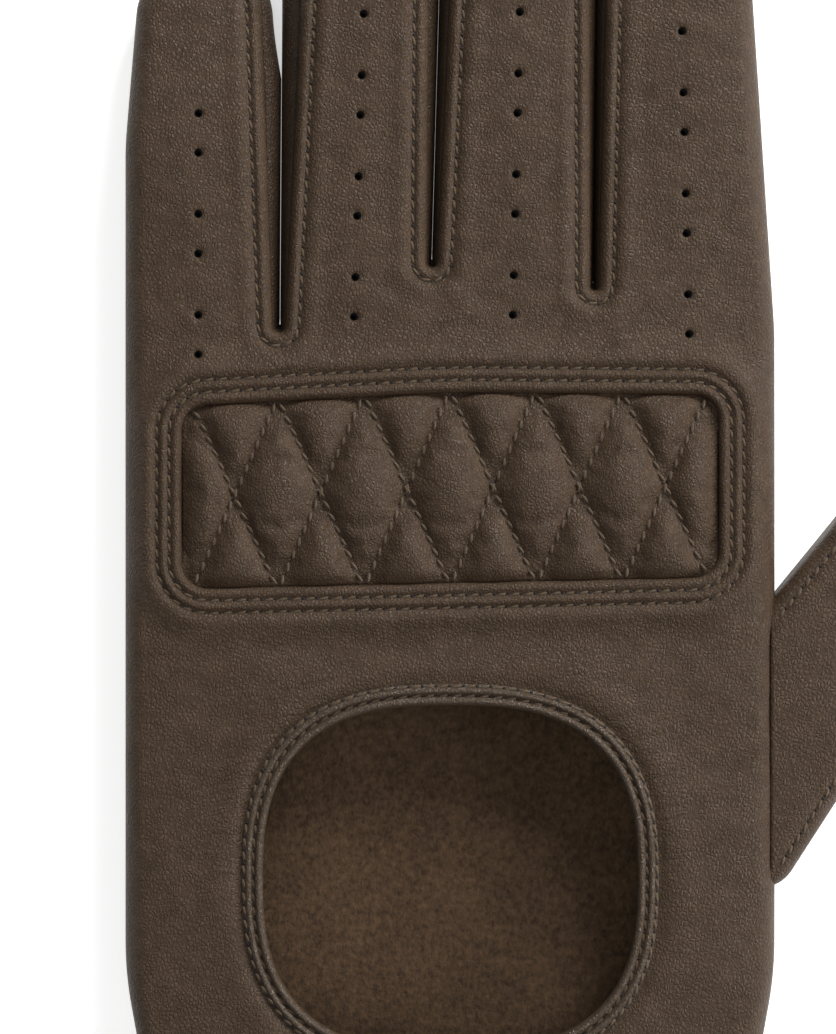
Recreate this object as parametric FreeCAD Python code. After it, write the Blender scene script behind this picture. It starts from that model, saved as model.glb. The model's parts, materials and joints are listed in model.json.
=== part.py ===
"""Left-hand leather driving glove, FreeCAD model in millimetres.

The glove lies palm down and softly filled out: +Z is up through its back, +Y runs to the fingertips and
+X to the thumb side. The origin is the middle of the palm on the surface that the glove lies on.

It is a hollow skin. One outline, extruded and rounded, is the outside of the hand and its four fingers, and
the same outline moved in by the leather's thickness is the inside. The skin is then cut into the pieces
that a glover sews: back, palm and the forked gussets between the fingers. The thumb is a second hollow
form set into the side. Each digit bends at one hinge across its middle joint, and the strap at its root.
"""

import FreeCAD
import Part
import math
import os

V = FreeCAD.Vector

# Leather and overall form
LEATHER = 1.0            # thickness of every leather skin
THICKNESS = 14.0         # height of the hand and the fingers, lying down
EDGE_ROUND = 2.2         # rounding of the skin along the top and bottom edges
SEAM_CLEARANCE = 0.1     # between two pieces that are sewn or glued face to face

# Hand
PALM_LENGTH = 151.5      # wrist edge to the highest crotch, the one between middle and ring finger
ORIGIN_FROM_WRIST = 75.0
WRIST_WIDTH = 92.0
TAPER_LENGTH = 37.0      # the sides draw in to the wrist over this length
SIDE_ROUND = 60.0

# Fingers from the little finger to the index finger. crotch_drop is how far the slit on the thumb side
# of the finger ends below the highest crotch, and slit is how wide that slit is at its end.
FINGERS = [
    {"name": "little", "width": 24.1, "tip_width": 19.6, "length": 61.0, "lean": 0.0,
     "crotch_drop": 10.5, "slit": 1.8, "hole_pairs": 3, "first_hole": 3.7},
    {"name": "ring", "width": 23.1, "tip_width": 19.4, "length": 75.5, "lean": 2.4,
     "crotch_drop": 0.0, "slit": 1.5, "hole_pairs": 4, "first_hole": 8.1},
    {"name": "middle", "width": 25.0, "tip_width": 20.8, "length": 84.5, "lean": 1.95,
     "crotch_drop": 3.7, "slit": 1.2, "hole_pairs": 4, "first_hole": 7.8},
    {"name": "index", "width": 28.8, "tip_width": 21.6, "length": 75.2, "lean": -1.75,
     "crotch_drop": None, "slit": None, "hole_pairs": 4, "first_hole": 7.2},
]
TIP_SQUARENESS = 0.4     # flat left at the middle of a fingertip

# Ventilation holes in pairs along the middle of each finger
HOLE_RADIUS = 0.75
HOLE_GAP = 6.4           # between the two holes of a pair
PAIR_PITCH = 16.3

# Finger and thumb hinges
HINGE_AFTER_PAIRS = 2    # the hinge lies beyond this many pairs of holes
HINGE_PAST_HOLE = 5.5
HINGE_GAP = 0.3          # between the rounded end of a moving tip and its seat
HINGE_INSET = 0.1        # the tip's end is this much smaller than half the thickness
FINGER_BEND = 80.0       # degrees
THUMB_BEND = 60.0

# Gussets between the fingers
GUSSET_LOW = 3.0
GUSSET_HIGH = 11.0

# Thumb, in a frame of its own turned from +Y towards +X
THUMB_ANGLE = 36.0
THUMB_INSET = 12.0       # root point, inside the thumb side of the hand
THUMB_ROOT_Y = -16.0
THUMB_WIDTH = 31.0
THUMB_TIP_WIDTH = 21.0
THUMB_LENGTH = 88.0
THUMB_HINGE = 52.0
THUMB_THICKNESS = 12.6

# Quilted knuckle pad, seen through a window in the back
WINDOW_MARGIN = 9.4      # from each side of the hand
WINDOW_LOW = 51.5        # below the highest crotch, at the little finger's side
WINDOW_HEIGHT = 30.2
WINDOW_RISE = 1.9        # how much higher the window is at the thumb side
WINDOW_ARCH = 1.3        # rise of its upper edge at the middle
WINDOW_CORNER = 4.2
PAD_FLANGE = 6.0         # sewn under the back all round the window
PAD_SKIN = 0.8
PAD_RISE = 1.4           # above the back of the hand
PAD_BACKING = 0.5
PAD_ROUND = 0.6
QUILT_PITCH = 13.9
QUILT_WIDTH = 0.6

# Seam threads
THREAD_WIDTH = 0.6
THREAD_HEIGHT = 0.35
SLIT_SEAM = 2.4          # from the edge of the leather
PAD_SEAM_NEAR = 2.0      # from the window's edge
PAD_SEAM_FAR = 4.0
BINDING_SEAM_NEAR = 1.5  # from the cut edge of the opening
BINDING_SEAM_FAR = 2.9
HEM_SEAM = 6.0           # from the wrist edge
STRAP_SEAM = 1.8

# Opening over the back of the hand and its neck down to the wrist
OPENING_HALF_WIDTH = 30.3
OPENING_HALF_HEIGHT = 28.0
OPENING_TOP = 70.7       # below the highest crotch
OPENING_POWER = 2.7      # roundness of the outline: 2 is an ellipse, larger is squarer
NECK_HALF_WIDTH = 4.0
NECK_ROUND = 8.0
BINDING_WIDTH = 3.4
BINDING_THICKNESS = 0.9

# Wrist facing
FACING_LENGTH = 8.0
FACING_THICKNESS = 0.8

# Strap with its press stud
STRAP_WIDTH = 17.0
STRAP_THICKNESS = 2.0
STRAP_FROM_WRIST = 13.0  # middle of the strap
STRAP_REACH = 34.0       # from its hinge to its rounded end
STRAP_HINGE_X = 12.0
STRAP_ROOT_LENGTH = 16.0
STRAP_ROOT_GAP = 2.2     # lets the strap fold back over its sewn end
STRAP_BEND = 120.0
STRAP_CLEARANCE = 0.2    # over the binding's thread
PATCH_SHOWS = 2.0        # the patch under the strap's sewn end starts this far before the hinge
STUD_X = -14.0
STUD_BASE_RADIUS = 4.0
STUD_BASE_HEIGHT = 0.6
STUD_POST_RADIUS = 1.7
STUD_CLEARANCE = 0.3     # around and above the post, in the socket
POST_IN_STRAP = 1.2      # the post reaches this far into the strap
RIVET_STEM_RADIUS = 1.2
RIVET_FLANGE = 0.6
SOCKET_FLANGE_RADIUS = 4.4
SOCKET_FLANGE = 0.4
SOCKET_WALL = 1.1
SPRING_WIRE = 0.2
CAP_RADIUS = 5.6
CAP_HEIGHT = 1.2

# Worked out from the sizes above
WRIST_Y = -ORIGIN_FROM_WRIST
CROTCH_Y = WRIST_Y + PALM_LENGTH
HAND_WIDTH = sum(f["width"] + (f["slit"] or 0.0) for f in FINGERS)
LEFT_X = -HAND_WIDTH / 2
RIGHT_X = HAND_WIDTH / 2
MID_Z = THICKNESS / 2
SKIN_UNDER = THICKNESS - LEATHER
BINDING_TOP = THICKNESS + BINDING_THICKNESS
STRAP_LOW = BINDING_TOP + THREAD_HEIGHT + STRAP_CLEARANCE
STRAP_HIGH = STRAP_LOW + STRAP_THICKNESS
STRAP_Y = WRIST_Y + STRAP_FROM_WRIST
OPENING_Y = CROTCH_Y - OPENING_TOP - OPENING_HALF_HEIGHT
OVERSHOOT = 15.0         # how far cutting shapes run past what they cut
TALL = 60.0
WIDE = 2 * PALM_LENGTH
SLIVER = 0.05            # cubic millimetres


def lay_out_fingers():
    """Adds to each finger its edges, its crotches and its tip in the hand's frame."""
    x = LEFT_X
    crotch = CROTCH_Y - FINGERS[0]["crotch_drop"]
    for finger in FINGERS:
        finger["left"] = x
        finger["right"] = x + finger["width"]
        finger["root_x"] = x + finger["width"] / 2
        finger["tip_x"] = finger["root_x"] + finger["lean"]
        finger["left_crotch"] = crotch
        drop = finger["crotch_drop"]
        finger["right_crotch"] = crotch if drop is None else CROTCH_Y - drop
        high_crotch = max(finger["left_crotch"], finger["right_crotch"])
        finger["tip_y"] = high_crotch + finger["length"]
        finger["root_y"] = high_crotch
        finger["first_hole_y"] = high_crotch - finger["first_hole"]
        past_pairs = (HINGE_AFTER_PAIRS - 1) * PAIR_PITCH + HOLE_GAP + HINGE_PAST_HOLE
        finger["hinge_y"] = finger["first_hole_y"] + past_pairs
        crotch = finger["right_crotch"]
        x = finger["right"] + (finger["slit"] or 0.0)


def rounded_outline(corners):
    """Closed wire through corners (x, y, radius), each corner rounded by an arc tangent to its sides."""
    ends = []
    count = len(corners)
    for i, (x, y, radius) in enumerate(corners):
        here = V(x, y, 0)
        before = (V(*corners[i - 1][:2], 0) - here).normalize()
        after = (V(*corners[(i + 1) % count][:2], 0) - here).normalize()
        if radius <= 0:
            ends.append((here, None, here))
            continue
        half = before.getAngle(after) / 2
        reach = radius / math.tan(half)
        centre = here + (before + after).normalize() * (radius / math.sin(half))
        middle = centre + (here - centre).normalize() * radius
        ends.append((here + before * reach, middle, here + after * reach))
    edges = []
    for i, (start, middle, end) in enumerate(ends):
        if middle is not None:
            edges.append(Part.Arc(start, middle, end).toShape())
        following = ends[(i + 1) % count][0]
        if (following - end).Length > 1e-6:
            edges.append(Part.LineSegment(end, following).toShape())
    return Part.Wire(edges)


def prism(wire, low, high):
    """Solid between two heights over a closed flat wire."""
    face = Part.Face(wire)
    solid = face.extrude(V(0, 0, high - low))
    solid.translate(V(0, 0, low))
    return solid


def moved_in(wire, distance):
    """The wire moved towards its inside by a distance, or outwards where that is negative."""
    return wire.makeOffset2D(-distance) if distance else wire


def level_edges(solid, height):
    """Edges that lie flat at a height."""
    return [e for e in solid.Edges
            if abs(e.BoundBox.ZMin - height) < 1e-4 and abs(e.BoundBox.ZMax - height) < 1e-4]


def pillow(wire, low, high, rounding):
    """Prism with its top and bottom edges rounded."""
    solid = prism(wire, low, high)
    return solid.makeFillet(rounding, level_edges(solid, low) + level_edges(solid, high))


def box(x0, x1, y0, y1, z0, z1):
    return Part.makeBox(x1 - x0, y1 - y0, z1 - z0, V(x0, y0, z0))


def edge_thread(wire, inside, low):
    """Seam thread that follows a wire at a distance inside it, or outside where that is negative."""
    sides = [moved_in(wire, inside - THREAD_WIDTH / 2), moved_in(wire, inside + THREAD_WIDTH / 2)]
    band = Part.makeFace(sides, "Part::FaceMakerBullseye").extrude(V(0, 0, THREAD_HEIGHT))
    band.translate(V(0, 0, low))
    return band


def solids_of(shape):
    """One shape of all the solids, without slivers left by cutting."""
    found = [s for s in shape.Solids if s.Volume > SLIVER]
    return found[0] if len(found) == 1 else Part.makeCompound(found)


# Hand and fingers

def glove_outline():
    """Outline of the hand and four fingers seen from above, run on past the wrist so it can be cut square."""
    first, last = FINGERS[0], FINGERS[-1]
    past = WRIST_Y - OVERSHOOT
    draw_in = (HAND_WIDTH - WRIST_WIDTH) / 2 / TAPER_LENGTH
    past_half = WRIST_WIDTH / 2 - draw_in * OVERSHOOT
    taper_y = WRIST_Y + TAPER_LENGTH
    corners = [(-past_half, past, 0), (LEFT_X, taper_y, SIDE_ROUND),
               (LEFT_X, first["left_crotch"] + first["length"] / 2, SIDE_ROUND)]
    for finger in FINGERS:
        half_tip = finger["tip_width"] / 2
        tip_round = half_tip - TIP_SQUARENESS
        corners.append((finger["tip_x"] - half_tip, finger["tip_y"], tip_round))
        corners.append((finger["tip_x"] + half_tip, finger["tip_y"], tip_round))
        if finger["slit"]:
            slit_round = 0.48 * finger["slit"]
            corners.append((finger["right"], finger["right_crotch"], slit_round))
            corners.append((finger["right"] + finger["slit"], finger["right_crotch"], slit_round))
    corners.append((RIGHT_X, last["left_crotch"] - EDGE_ROUND * 2, SIDE_ROUND))
    corners.append((RIGHT_X, taper_y, SIDE_ROUND))
    corners.append((past_half, past, 0))
    return rounded_outline(corners)


def below_wrist(half_width):
    """Block that trims everything past the wrist edge."""
    return box(-half_width, half_width, WRIST_Y - TALL, WRIST_Y, -TALL, TALL)


def finger_slab(left, right, low, high):
    """Block over the strip from one finger's middle line to the next one's, beyond their crotch."""
    start = left["right_crotch"] - 3 * LEATHER
    end = max(left["tip_y"], right["tip_y"]) + OVERSHOOT
    edges = []
    for finger in (left, right):
        slope = finger["lean"] / (finger["tip_y"] - finger["root_y"])
        edges.append((finger["root_x"] + slope * (start - finger["root_y"]),
                      finger["root_x"] + slope * (end - finger["root_y"])))
    corners = [(edges[0][0], start, 0), (edges[0][1], end, 0), (edges[1][1], end, 0), (edges[1][0], start, 0)]
    return prism(rounded_outline(corners), low, high)


def hole_places(finger):
    """Centres of a finger's ventilation holes."""
    slope = finger["lean"] / (finger["tip_y"] - finger["root_y"])
    places = []
    for pair in range(finger["hole_pairs"]):
        for step in (0.0, HOLE_GAP):
            y = finger["first_hole_y"] + pair * PAIR_PITCH + step
            places.append((finger["root_x"] + slope * (y - finger["root_y"]), y))
    return places


# Hinged digits

def digit_frame(digit):
    """Placement of a digit's own frame: origin at the hinge on the table, +Y along the digit."""
    turn = FreeCAD.Rotation(V(0, 0, 1), -digit["angle"])
    return FreeCAD.Placement(V(digit["hinge"][0], digit["hinge"][1], 0), turn)


def finger_digit(finger):
    run = finger["tip_y"] - finger["root_y"]
    past_root = finger["hinge_y"] - finger["root_y"]
    share = past_root / run
    half = finger["width"] / 2 + share * (finger["tip_width"] - finger["width"]) / 2
    gaps = [f["slit"] for f in FINGERS if f["slit"]]
    return {"name": finger["name"], "angle": math.degrees(math.atan2(finger["lean"], run)),
            "hinge": (finger["root_x"] + share * finger["lean"], finger["hinge_y"]),
            "half_width": half + 0.4 * min(gaps), "half_height": MID_Z,
            "length": run - past_root, "bend": FINGER_BEND}


def moving_end(digit):
    """The space of a digit's moving end: beyond its hinge, and a round end about the hinge line."""
    half, middle = digit["half_width"], digit["half_height"]
    beyond = box(-half, half, 0, digit["length"] + OVERSHOOT, -TALL, TALL)
    round_end = Part.makeCylinder(middle - HINGE_INSET, 2 * half, V(-half, 0, middle), V(1, 0, 0))
    space = beyond.fuse(round_end)
    space.Placement = digit_frame(digit)
    return space


def swept_space(digit):
    """What the fixed part of a digit leaves free for the moving end over its whole bend."""
    half, middle = digit["half_width"], digit["half_height"]
    reach = middle + HINGE_GAP
    beyond = box(-half, half, 0, digit["length"] + OVERSHOOT, -TALL, TALL)
    seat = Part.makeCylinder(reach, 2 * half, V(-half, 0, middle), V(1, 0, 0))
    bent = box(-half, half, 0, 4 * middle, middle - reach, middle + reach)
    bent.rotate(V(0, 0, middle), V(1, 0, 0), -digit["bend"])
    space = beyond.fuse(seat).fuse(bent)
    space.Placement = digit_frame(digit)
    return space


# Thumb

def thumb_frame():
    return FreeCAD.Placement(V(RIGHT_X - THUMB_INSET, THUMB_ROOT_Y, 0),
                             FreeCAD.Rotation(V(0, 0, 1), -THUMB_ANGLE))


def thumb_outline(inside):
    """Outline of the thumb in its own frame, moved in by a distance, with its root end run on."""
    half_root, half_tip = THUMB_WIDTH / 2 - inside, THUMB_TIP_WIDTH / 2 - inside
    tip = THUMB_LENGTH - inside
    tip_round = half_tip - TIP_SQUARENESS
    wire = rounded_outline([(-half_root, 0, 0), (-half_tip, tip, tip_round),
                            (half_tip, tip, tip_round), (half_root, 0, 0)])
    wire.Placement = thumb_frame()
    return wire


def thumb_form(inside):
    """Solid of the thumb moved in by a distance on every side."""
    wire = thumb_outline(inside)
    return pillow(wire, inside, THUMB_THICKNESS - inside, EDGE_ROUND - inside)


def thumb_digit():
    hinge = thumb_frame().multVec(V(0, THUMB_HINGE, 0))
    return {"name": "thumb", "angle": THUMB_ANGLE, "hinge": (hinge.x, hinge.y),
            "half_width": THUMB_WIDTH / 2 + 1, "half_height": THUMB_THICKNESS / 2,
            "length": THUMB_LENGTH - THUMB_HINGE, "bend": THUMB_BEND}


# Opening over the back of the hand

def keyhole(outside, low, high):
    """Solid over the round opening and its neck to the wrist, grown outwards by a distance."""
    wide, tall = OPENING_HALF_WIDTH + outside, OPENING_HALF_HEIGHT + outside
    points = []
    count = 32
    for i in range(count):
        turn = 2 * math.pi * i / count
        c, s = math.cos(turn), math.sin(turn)
        points.append(V(wide * math.copysign(abs(c) ** (2 / OPENING_POWER), c),
                        OPENING_Y + tall * math.copysign(abs(s) ** (2 / OPENING_POWER), s), 0))
    curve = Part.BSplineCurve()
    curve.interpolate(points, PeriodicFlag=True)
    round_part = prism(Part.Wire(curve.toShape()), low, high)
    neck = NECK_HALF_WIDTH + outside
    neck_part = box(-neck, neck, WRIST_Y - OVERSHOOT, OPENING_Y, low, high)
    whole = round_part.fuse(neck_part).removeSplitter()
    inner_corners = [e for e in whole.Edges
                     if e.BoundBox.ZLength > high - low - 1e-4 and e.BoundBox.YMax > WRIST_Y + 1
                     and abs(abs(e.BoundBox.XMax) - neck) < 1e-3]
    return whole.makeFillet(NECK_ROUND - min(outside, NECK_ROUND / 2), inner_corners)


def opening_seam(outside):
    """Thread beside the opening at a distance from its cut edge, lying on the binding."""
    half = THREAD_WIDTH / 2
    low, high = BINDING_TOP, BINDING_TOP + THREAD_HEIGHT
    return keyhole(outside + half, low, high).cut(keyhole(outside - half, low - 1, high + 1))


def opening_binding():
    """Strip of leather folded round the cut edge of the opening, over and under the back."""
    folded = keyhole(BINDING_WIDTH, SKIN_UNDER - BINDING_THICKNESS, BINDING_TOP)
    folded = folded.cut(keyhole(-BINDING_THICKNESS, -TALL, TALL))
    held = keyhole(2 * BINDING_WIDTH, SKIN_UNDER, THICKNESS).cut(keyhole(0, SKIN_UNDER - 1, THICKNESS + 1))
    return folded.cut(held)


# Quilted knuckle pad

def window_outline():
    low = CROTCH_Y - WINDOW_LOW
    high = low + WINDOW_HEIGHT
    left, right = LEFT_X + WINDOW_MARGIN, RIGHT_X - WINDOW_MARGIN
    middle = (left + right) / 2
    arch = high + WINDOW_RISE / 2 + WINDOW_ARCH
    return rounded_outline([(left, low, WINDOW_CORNER),
                            (left, high, WINDOW_CORNER),
                            (middle, arch, 4 * SIDE_ROUND),
                            (right, high + WINDOW_RISE, WINDOW_CORNER),
                            (right, low + WINDOW_RISE, WINDOW_CORNER)])


def knuckle_pieces():
    """Quilted skin, wadding and backing of the knuckle pad, and the thread that quilts them."""
    window = window_outline()
    flange_low = SKIN_UNDER - PAD_SKIN
    pad_top = THICKNESS + PAD_RISE
    in_window = moved_in(window, SEAM_CLEARANCE)
    raised = prism(in_window, flange_low, pad_top)
    raised = raised.makeFillet(PAD_ROUND, level_edges(raised, pad_top))
    core = moved_in(window, SEAM_CLEARANCE + PAD_SKIN)
    cover = prism(moved_in(window, -PAD_FLANGE), flange_low, SKIN_UNDER).fuse(raised)
    cover = cover.cut(prism(core, flange_low - 1, pad_top - PAD_SKIN)).removeSplitter()
    wadding = prism(moved_in(core, SEAM_CLEARANCE), flange_low, pad_top - PAD_SKIN - SEAM_CLEARANCE)
    backing = prism(moved_in(window, -PAD_FLANGE), flange_low - PAD_BACKING, flange_low)
    return {"knuckle_cover": cover, "knuckle_wadding": wadding, "knuckle_backing": backing,
            "quilting_thread": quilting_thread(window, pad_top),
            "knuckle_seam_near": edge_thread(window, -PAD_SEAM_NEAR, THICKNESS),
            "knuckle_seam_far": edge_thread(window, -PAD_SEAM_FAR, THICKNESS)}


def quilting_thread(window, low):
    """Diagonal rows that cross at mid height and divide the pad into diamonds."""
    bounds = window.BoundBox
    bottom, top = bounds.YMin, bounds.YMax
    middle = (bounds.XMin + bounds.XMax) / 2
    half = QUILT_WIDTH / 2
    count = int(bounds.XLength / QUILT_PITCH) + 2
    rows = None
    for i in range(-count, count + 1):
        for slant in (-1, 1):
            x = middle + (i + 0.5) * QUILT_PITCH
            foot, head = x - slant * QUILT_PITCH / 2, x + slant * QUILT_PITCH / 2
            corners = [(foot - half, bottom, 0), (foot + half, bottom, 0),
                       (head + half, top, 0), (head - half, top, 0)]
            row = prism(rounded_outline(corners), low, low + THREAD_HEIGHT)
            rows = row if rows is None else rows.fuse(row)
    flat_top = prism(moved_in(window, SEAM_CLEARANCE + PAD_ROUND), low - 1, low + 1)
    return rows.common(flat_top).removeSplitter()


# Wrist strap and press stud

def disc(x, radius, low, high):
    return Part.makeCylinder(radius, high - low, V(x, STRAP_Y, low), V(0, 0, 1))


def strap_outline(inside):
    """The strap beyond its hinge, with a rounded free end over the stud."""
    half = STRAP_WIDTH / 2 - inside
    free = STRAP_HINGE_X - STRAP_REACH + inside
    return rounded_outline([(free, STRAP_Y - half, half - TIP_SQUARENESS), (STRAP_HINGE_X, STRAP_Y - half, 0),
                            (STRAP_HINGE_X, STRAP_Y + half, 0), (free, STRAP_Y + half, half - TIP_SQUARENESS)])


def strap_pieces():
    """Strap, its sewn end and patch, and the four metal parts of the press stud with its spring."""
    barrel = STUD_POST_RADIUS + STUD_CLEARANCE + SOCKET_WALL
    bore = STUD_POST_RADIUS + STUD_CLEARANCE
    post_top = STRAP_LOW + POST_IN_STRAP
    half = STRAP_WIDTH / 2
    hinge_z = STRAP_LOW + STRAP_THICKNESS / 2
    hinge_round = Part.makeCylinder(STRAP_THICKNESS / 2 - 1e-3, 2 * half,
                                    V(STRAP_HINGE_X, STRAP_Y - half, hinge_z), V(0, 1, 0))
    strap = prism(strap_outline(0), STRAP_LOW, STRAP_HIGH).fuse(hinge_round)
    strap = strap.cut(disc(STUD_X, barrel, STRAP_LOW - 1, STRAP_HIGH + 1))
    seam = edge_thread(strap_outline(0), STRAP_SEAM, STRAP_HIGH)
    root_x0 = STRAP_HINGE_X + STRAP_ROOT_GAP
    root_x1 = root_x0 + STRAP_ROOT_LENGTH
    root = box(root_x0, root_x1, STRAP_Y - half, STRAP_Y + half, STRAP_LOW, STRAP_HIGH)
    root_outline = rounded_outline([(root_x0, STRAP_Y - half, 0), (root_x1, STRAP_Y - half, 0),
                                    (root_x1, STRAP_Y + half, 0), (root_x0, STRAP_Y + half, 0)])
    patch_x0 = NECK_HALF_WIDTH + BINDING_WIDTH + SEAM_CLEARANCE
    patch = box(max(patch_x0, STRAP_HINGE_X - PATCH_SHOWS), root_x1, STRAP_Y - half, STRAP_Y + half,
                THICKNESS, STRAP_LOW)
    patch = patch.cut(keyhole(BINDING_WIDTH + SEAM_CLEARANCE, MID_Z, TALL))
    stud = disc(STUD_X, STUD_BASE_RADIUS, THICKNESS, THICKNESS + STUD_BASE_HEIGHT)
    stud = stud.fuse(disc(STUD_X, STUD_POST_RADIUS, THICKNESS, post_top)).removeSplitter()
    rivet = disc(STUD_X, STUD_BASE_RADIUS, SKIN_UNDER - RIVET_FLANGE, SKIN_UNDER)
    rivet = rivet.fuse(disc(STUD_X, RIVET_STEM_RADIUS, SKIN_UNDER, THICKNESS)).removeSplitter()
    socket = disc(STUD_X, SOCKET_FLANGE_RADIUS, STRAP_LOW - SOCKET_FLANGE, STRAP_LOW)
    socket = socket.fuse(disc(STUD_X, barrel, STRAP_LOW, STRAP_HIGH)).removeSplitter()
    socket = socket.cut(disc(STUD_X, bore, STRAP_LOW - 1, post_top + STUD_CLEARANCE))
    spring_z = (STRAP_LOW + post_top) / 2
    groove = Part.makeTorus(bore + SPRING_WIRE, SPRING_WIRE + 0.05, V(STUD_X, STRAP_Y, spring_z), V(0, 0, 1))
    spring = Part.makeTorus(bore + SPRING_WIRE, SPRING_WIRE, V(STUD_X, STRAP_Y, spring_z), V(0, 0, 1))
    cap = disc(STUD_X, CAP_RADIUS, STRAP_HIGH, STRAP_HIGH + CAP_HEIGHT)
    cap = cap.makeFillet(0.75 * CAP_HEIGHT, level_edges(cap, STRAP_HIGH + CAP_HEIGHT))
    clear_of_cap = disc(STUD_X, CAP_RADIUS + SEAM_CLEARANCE, STRAP_HIGH - 1, STRAP_HIGH + 1)
    seam = seam.cut(clear_of_cap).cut(box(STRAP_HINGE_X - STRAP_ROOT_GAP - STRAP_SEAM, TALL, -TALL * 2, 0,
                                          STRAP_HIGH - 1, TALL))
    return {"strap": strap, "strap_thread": seam, "strap_sewn_end": root,
            "strap_sewn_thread": edge_thread(root_outline, STRAP_SEAM, STRAP_HIGH), "strap_patch": patch,
            "stud_post": stud, "stud_rivet": rivet, "snap_socket": socket.cut(groove), "snap_spring": spring,
            "snap_cap": cap}


# The skin and its pieces

def hand_forms():
    """Outside of the hand and fingers, and the hollow inside them, both run on past the wrist."""
    outline = glove_outline()
    outside = pillow(outline, 0, THICKNESS, EDGE_ROUND)
    hollow = pillow(moved_in(outline, LEATHER), LEATHER, THICKNESS - LEATHER, EDGE_ROUND - LEATHER)
    return outline, outside, hollow


def pierce(skin):
    """Cuts the ventilation holes, the opening, the pad's window and the stud's hole through the back."""
    for finger in FINGERS:
        for x, y in hole_places(finger):
            skin = skin.cut(Part.makeCylinder(HOLE_RADIUS, THICKNESS, V(x, y, MID_Z), V(0, 0, 1)))
    skin = skin.cut(keyhole(0, MID_Z, TALL))
    skin = skin.cut(prism(window_outline(), MID_Z, TALL))
    return skin.cut(disc(STUD_X, RIVET_STEM_RADIUS, MID_Z, TALL))


def upper_and_lower(skin, height):
    """The skin above a height and the skin below it."""
    return (skin.common(box(-WIDE, WIDE, -WIDE, WIDE, height, TALL)),
            skin.common(box(-WIDE, WIDE, -WIDE, WIDE, -TALL, height)))


def hand_pieces(skin):
    """Back, palm and the forked gussets of the hand, each still in one piece with its fingers."""
    gussets = {}
    for left, right in zip(FINGERS, FINGERS[1:]):
        slab = finger_slab(left, right, GUSSET_LOW, GUSSET_HIGH)
        gussets[(left["name"], right["name"])] = skin.common(slab)
        skin = skin.cut(slab)
    back, palm = upper_and_lower(skin, MID_Z)
    return back, palm, gussets


def split_at_hinges(back, palm, gussets, seam):
    """Cuts the four moving fingertips off the hand."""
    nodes = {}
    fixed = {"hand_back": back, "hand_palm": palm}
    for left, right in zip(FINGERS, FINGERS[1:]):
        pair = (left["name"], right["name"])
        fixed["gusset_%s_%s" % pair] = gussets[pair]
        fixed["slit_thread_%s_%s" % pair] = seam.common(finger_slab(left, right, MID_Z, TALL))
    tip_seam = seam.common(box(FINGERS[0]["root_x"], FINGERS[-1]["root_x"], -WIDE, WIDE, MID_Z, TALL))
    for finger in FINGERS:
        digit = finger_digit(finger)
        name, end, swept = digit["name"], moving_end(digit), swept_space(digit)
        nodes[name + "_tip_back"] = back.common(end)
        nodes[name + "_tip_palm"] = palm.common(end)
        nodes[name + "_tip_thread"] = tip_seam.common(end)
        for pair, gusset in gussets.items():
            if name in pair:
                side = pair[1] if name == pair[0] else pair[0]
                nodes[f"{name}_tip_gusset_{side}_side"] = gusset.common(end)
        for key in fixed:
            if name in key or key.startswith("hand"):
                fixed[key] = fixed[key].cut(swept)
    nodes.update(fixed)
    return nodes


def thumb_pieces(outline, outside):
    """Base and moving tip of the thumb, each as a back and a palm half with its seam."""
    skin = thumb_form(0).cut(thumb_form(LEATHER)).cut(outside)
    back, palm = upper_and_lower(skin, THUMB_THICKNESS / 2)
    seam = edge_thread(thumb_outline(0), SLIT_SEAM, THUMB_THICKNESS)
    seam = seam.cut(prism(moved_in(outline, -SEAM_CLEARANCE), -1, TALL))
    digit = thumb_digit()
    end, swept = moving_end(digit), swept_space(digit)
    nodes = {}
    for key, shape in {"back": back, "palm": palm, "thread": seam}.items():
        nodes["thumb_base_" + key] = shape.cut(swept)
        nodes["thumb_tip_" + key] = shape.common(end)
    return nodes


def wrist_pieces(outline, hollow, strap):
    """Facing inside the wrist edge, the hem's thread, and the opening's binding with its two seams."""
    trim = below_wrist(HAND_WIDTH)
    beside_binding = keyhole(BINDING_WIDTH + SEAM_CLEARANCE, MID_Z, TALL)
    inside = LEATHER + FACING_THICKNESS
    facing = hollow.cut(pillow(moved_in(outline, inside), inside, THICKNESS - inside, FACING_THICKNESS / 2))
    facing = facing.common(box(-HAND_WIDTH, HAND_WIDTH, WRIST_Y, WRIST_Y + FACING_LENGTH, -1, TALL))
    half_hem = WRIST_WIDTH / 2 - 2 * EDGE_ROUND
    hem_low = WRIST_Y + HEM_SEAM - THREAD_WIDTH / 2
    hem = box(-half_hem, half_hem, hem_low, hem_low + THREAD_WIDTH, THICKNESS, THICKNESS + THREAD_HEIGHT)
    hem = hem.cut(beside_binding).cut(strap["strap_patch"]).cut(strap["stud_post"])
    return {"wrist_facing": facing.cut(beside_binding), "hem_thread": hem,
            "opening_binding": opening_binding().cut(trim),
            "opening_seam_near": opening_seam(BINDING_SEAM_NEAR).cut(trim),
            "opening_seam_far": opening_seam(BINDING_SEAM_FAR).cut(trim)}


def build():
    """Every node by name."""
    lay_out_fingers()
    outline, outside, hollow = hand_forms()
    skin = outside.cut(hollow).cut(below_wrist(HAND_WIDTH)).cut(thumb_form(LEATHER))
    back, palm, gussets = hand_pieces(pierce(skin))
    nodes = split_at_hinges(back, palm, gussets, edge_thread(outline, SLIT_SEAM, THICKNESS))
    nodes.update(thumb_pieces(outline, outside.cut(below_wrist(HAND_WIDTH))))
    strap = strap_pieces()
    nodes.update(wrist_pieces(outline, hollow, strap))
    nodes.update(knuckle_pieces())
    nodes.update(strap)
    return nodes


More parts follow.
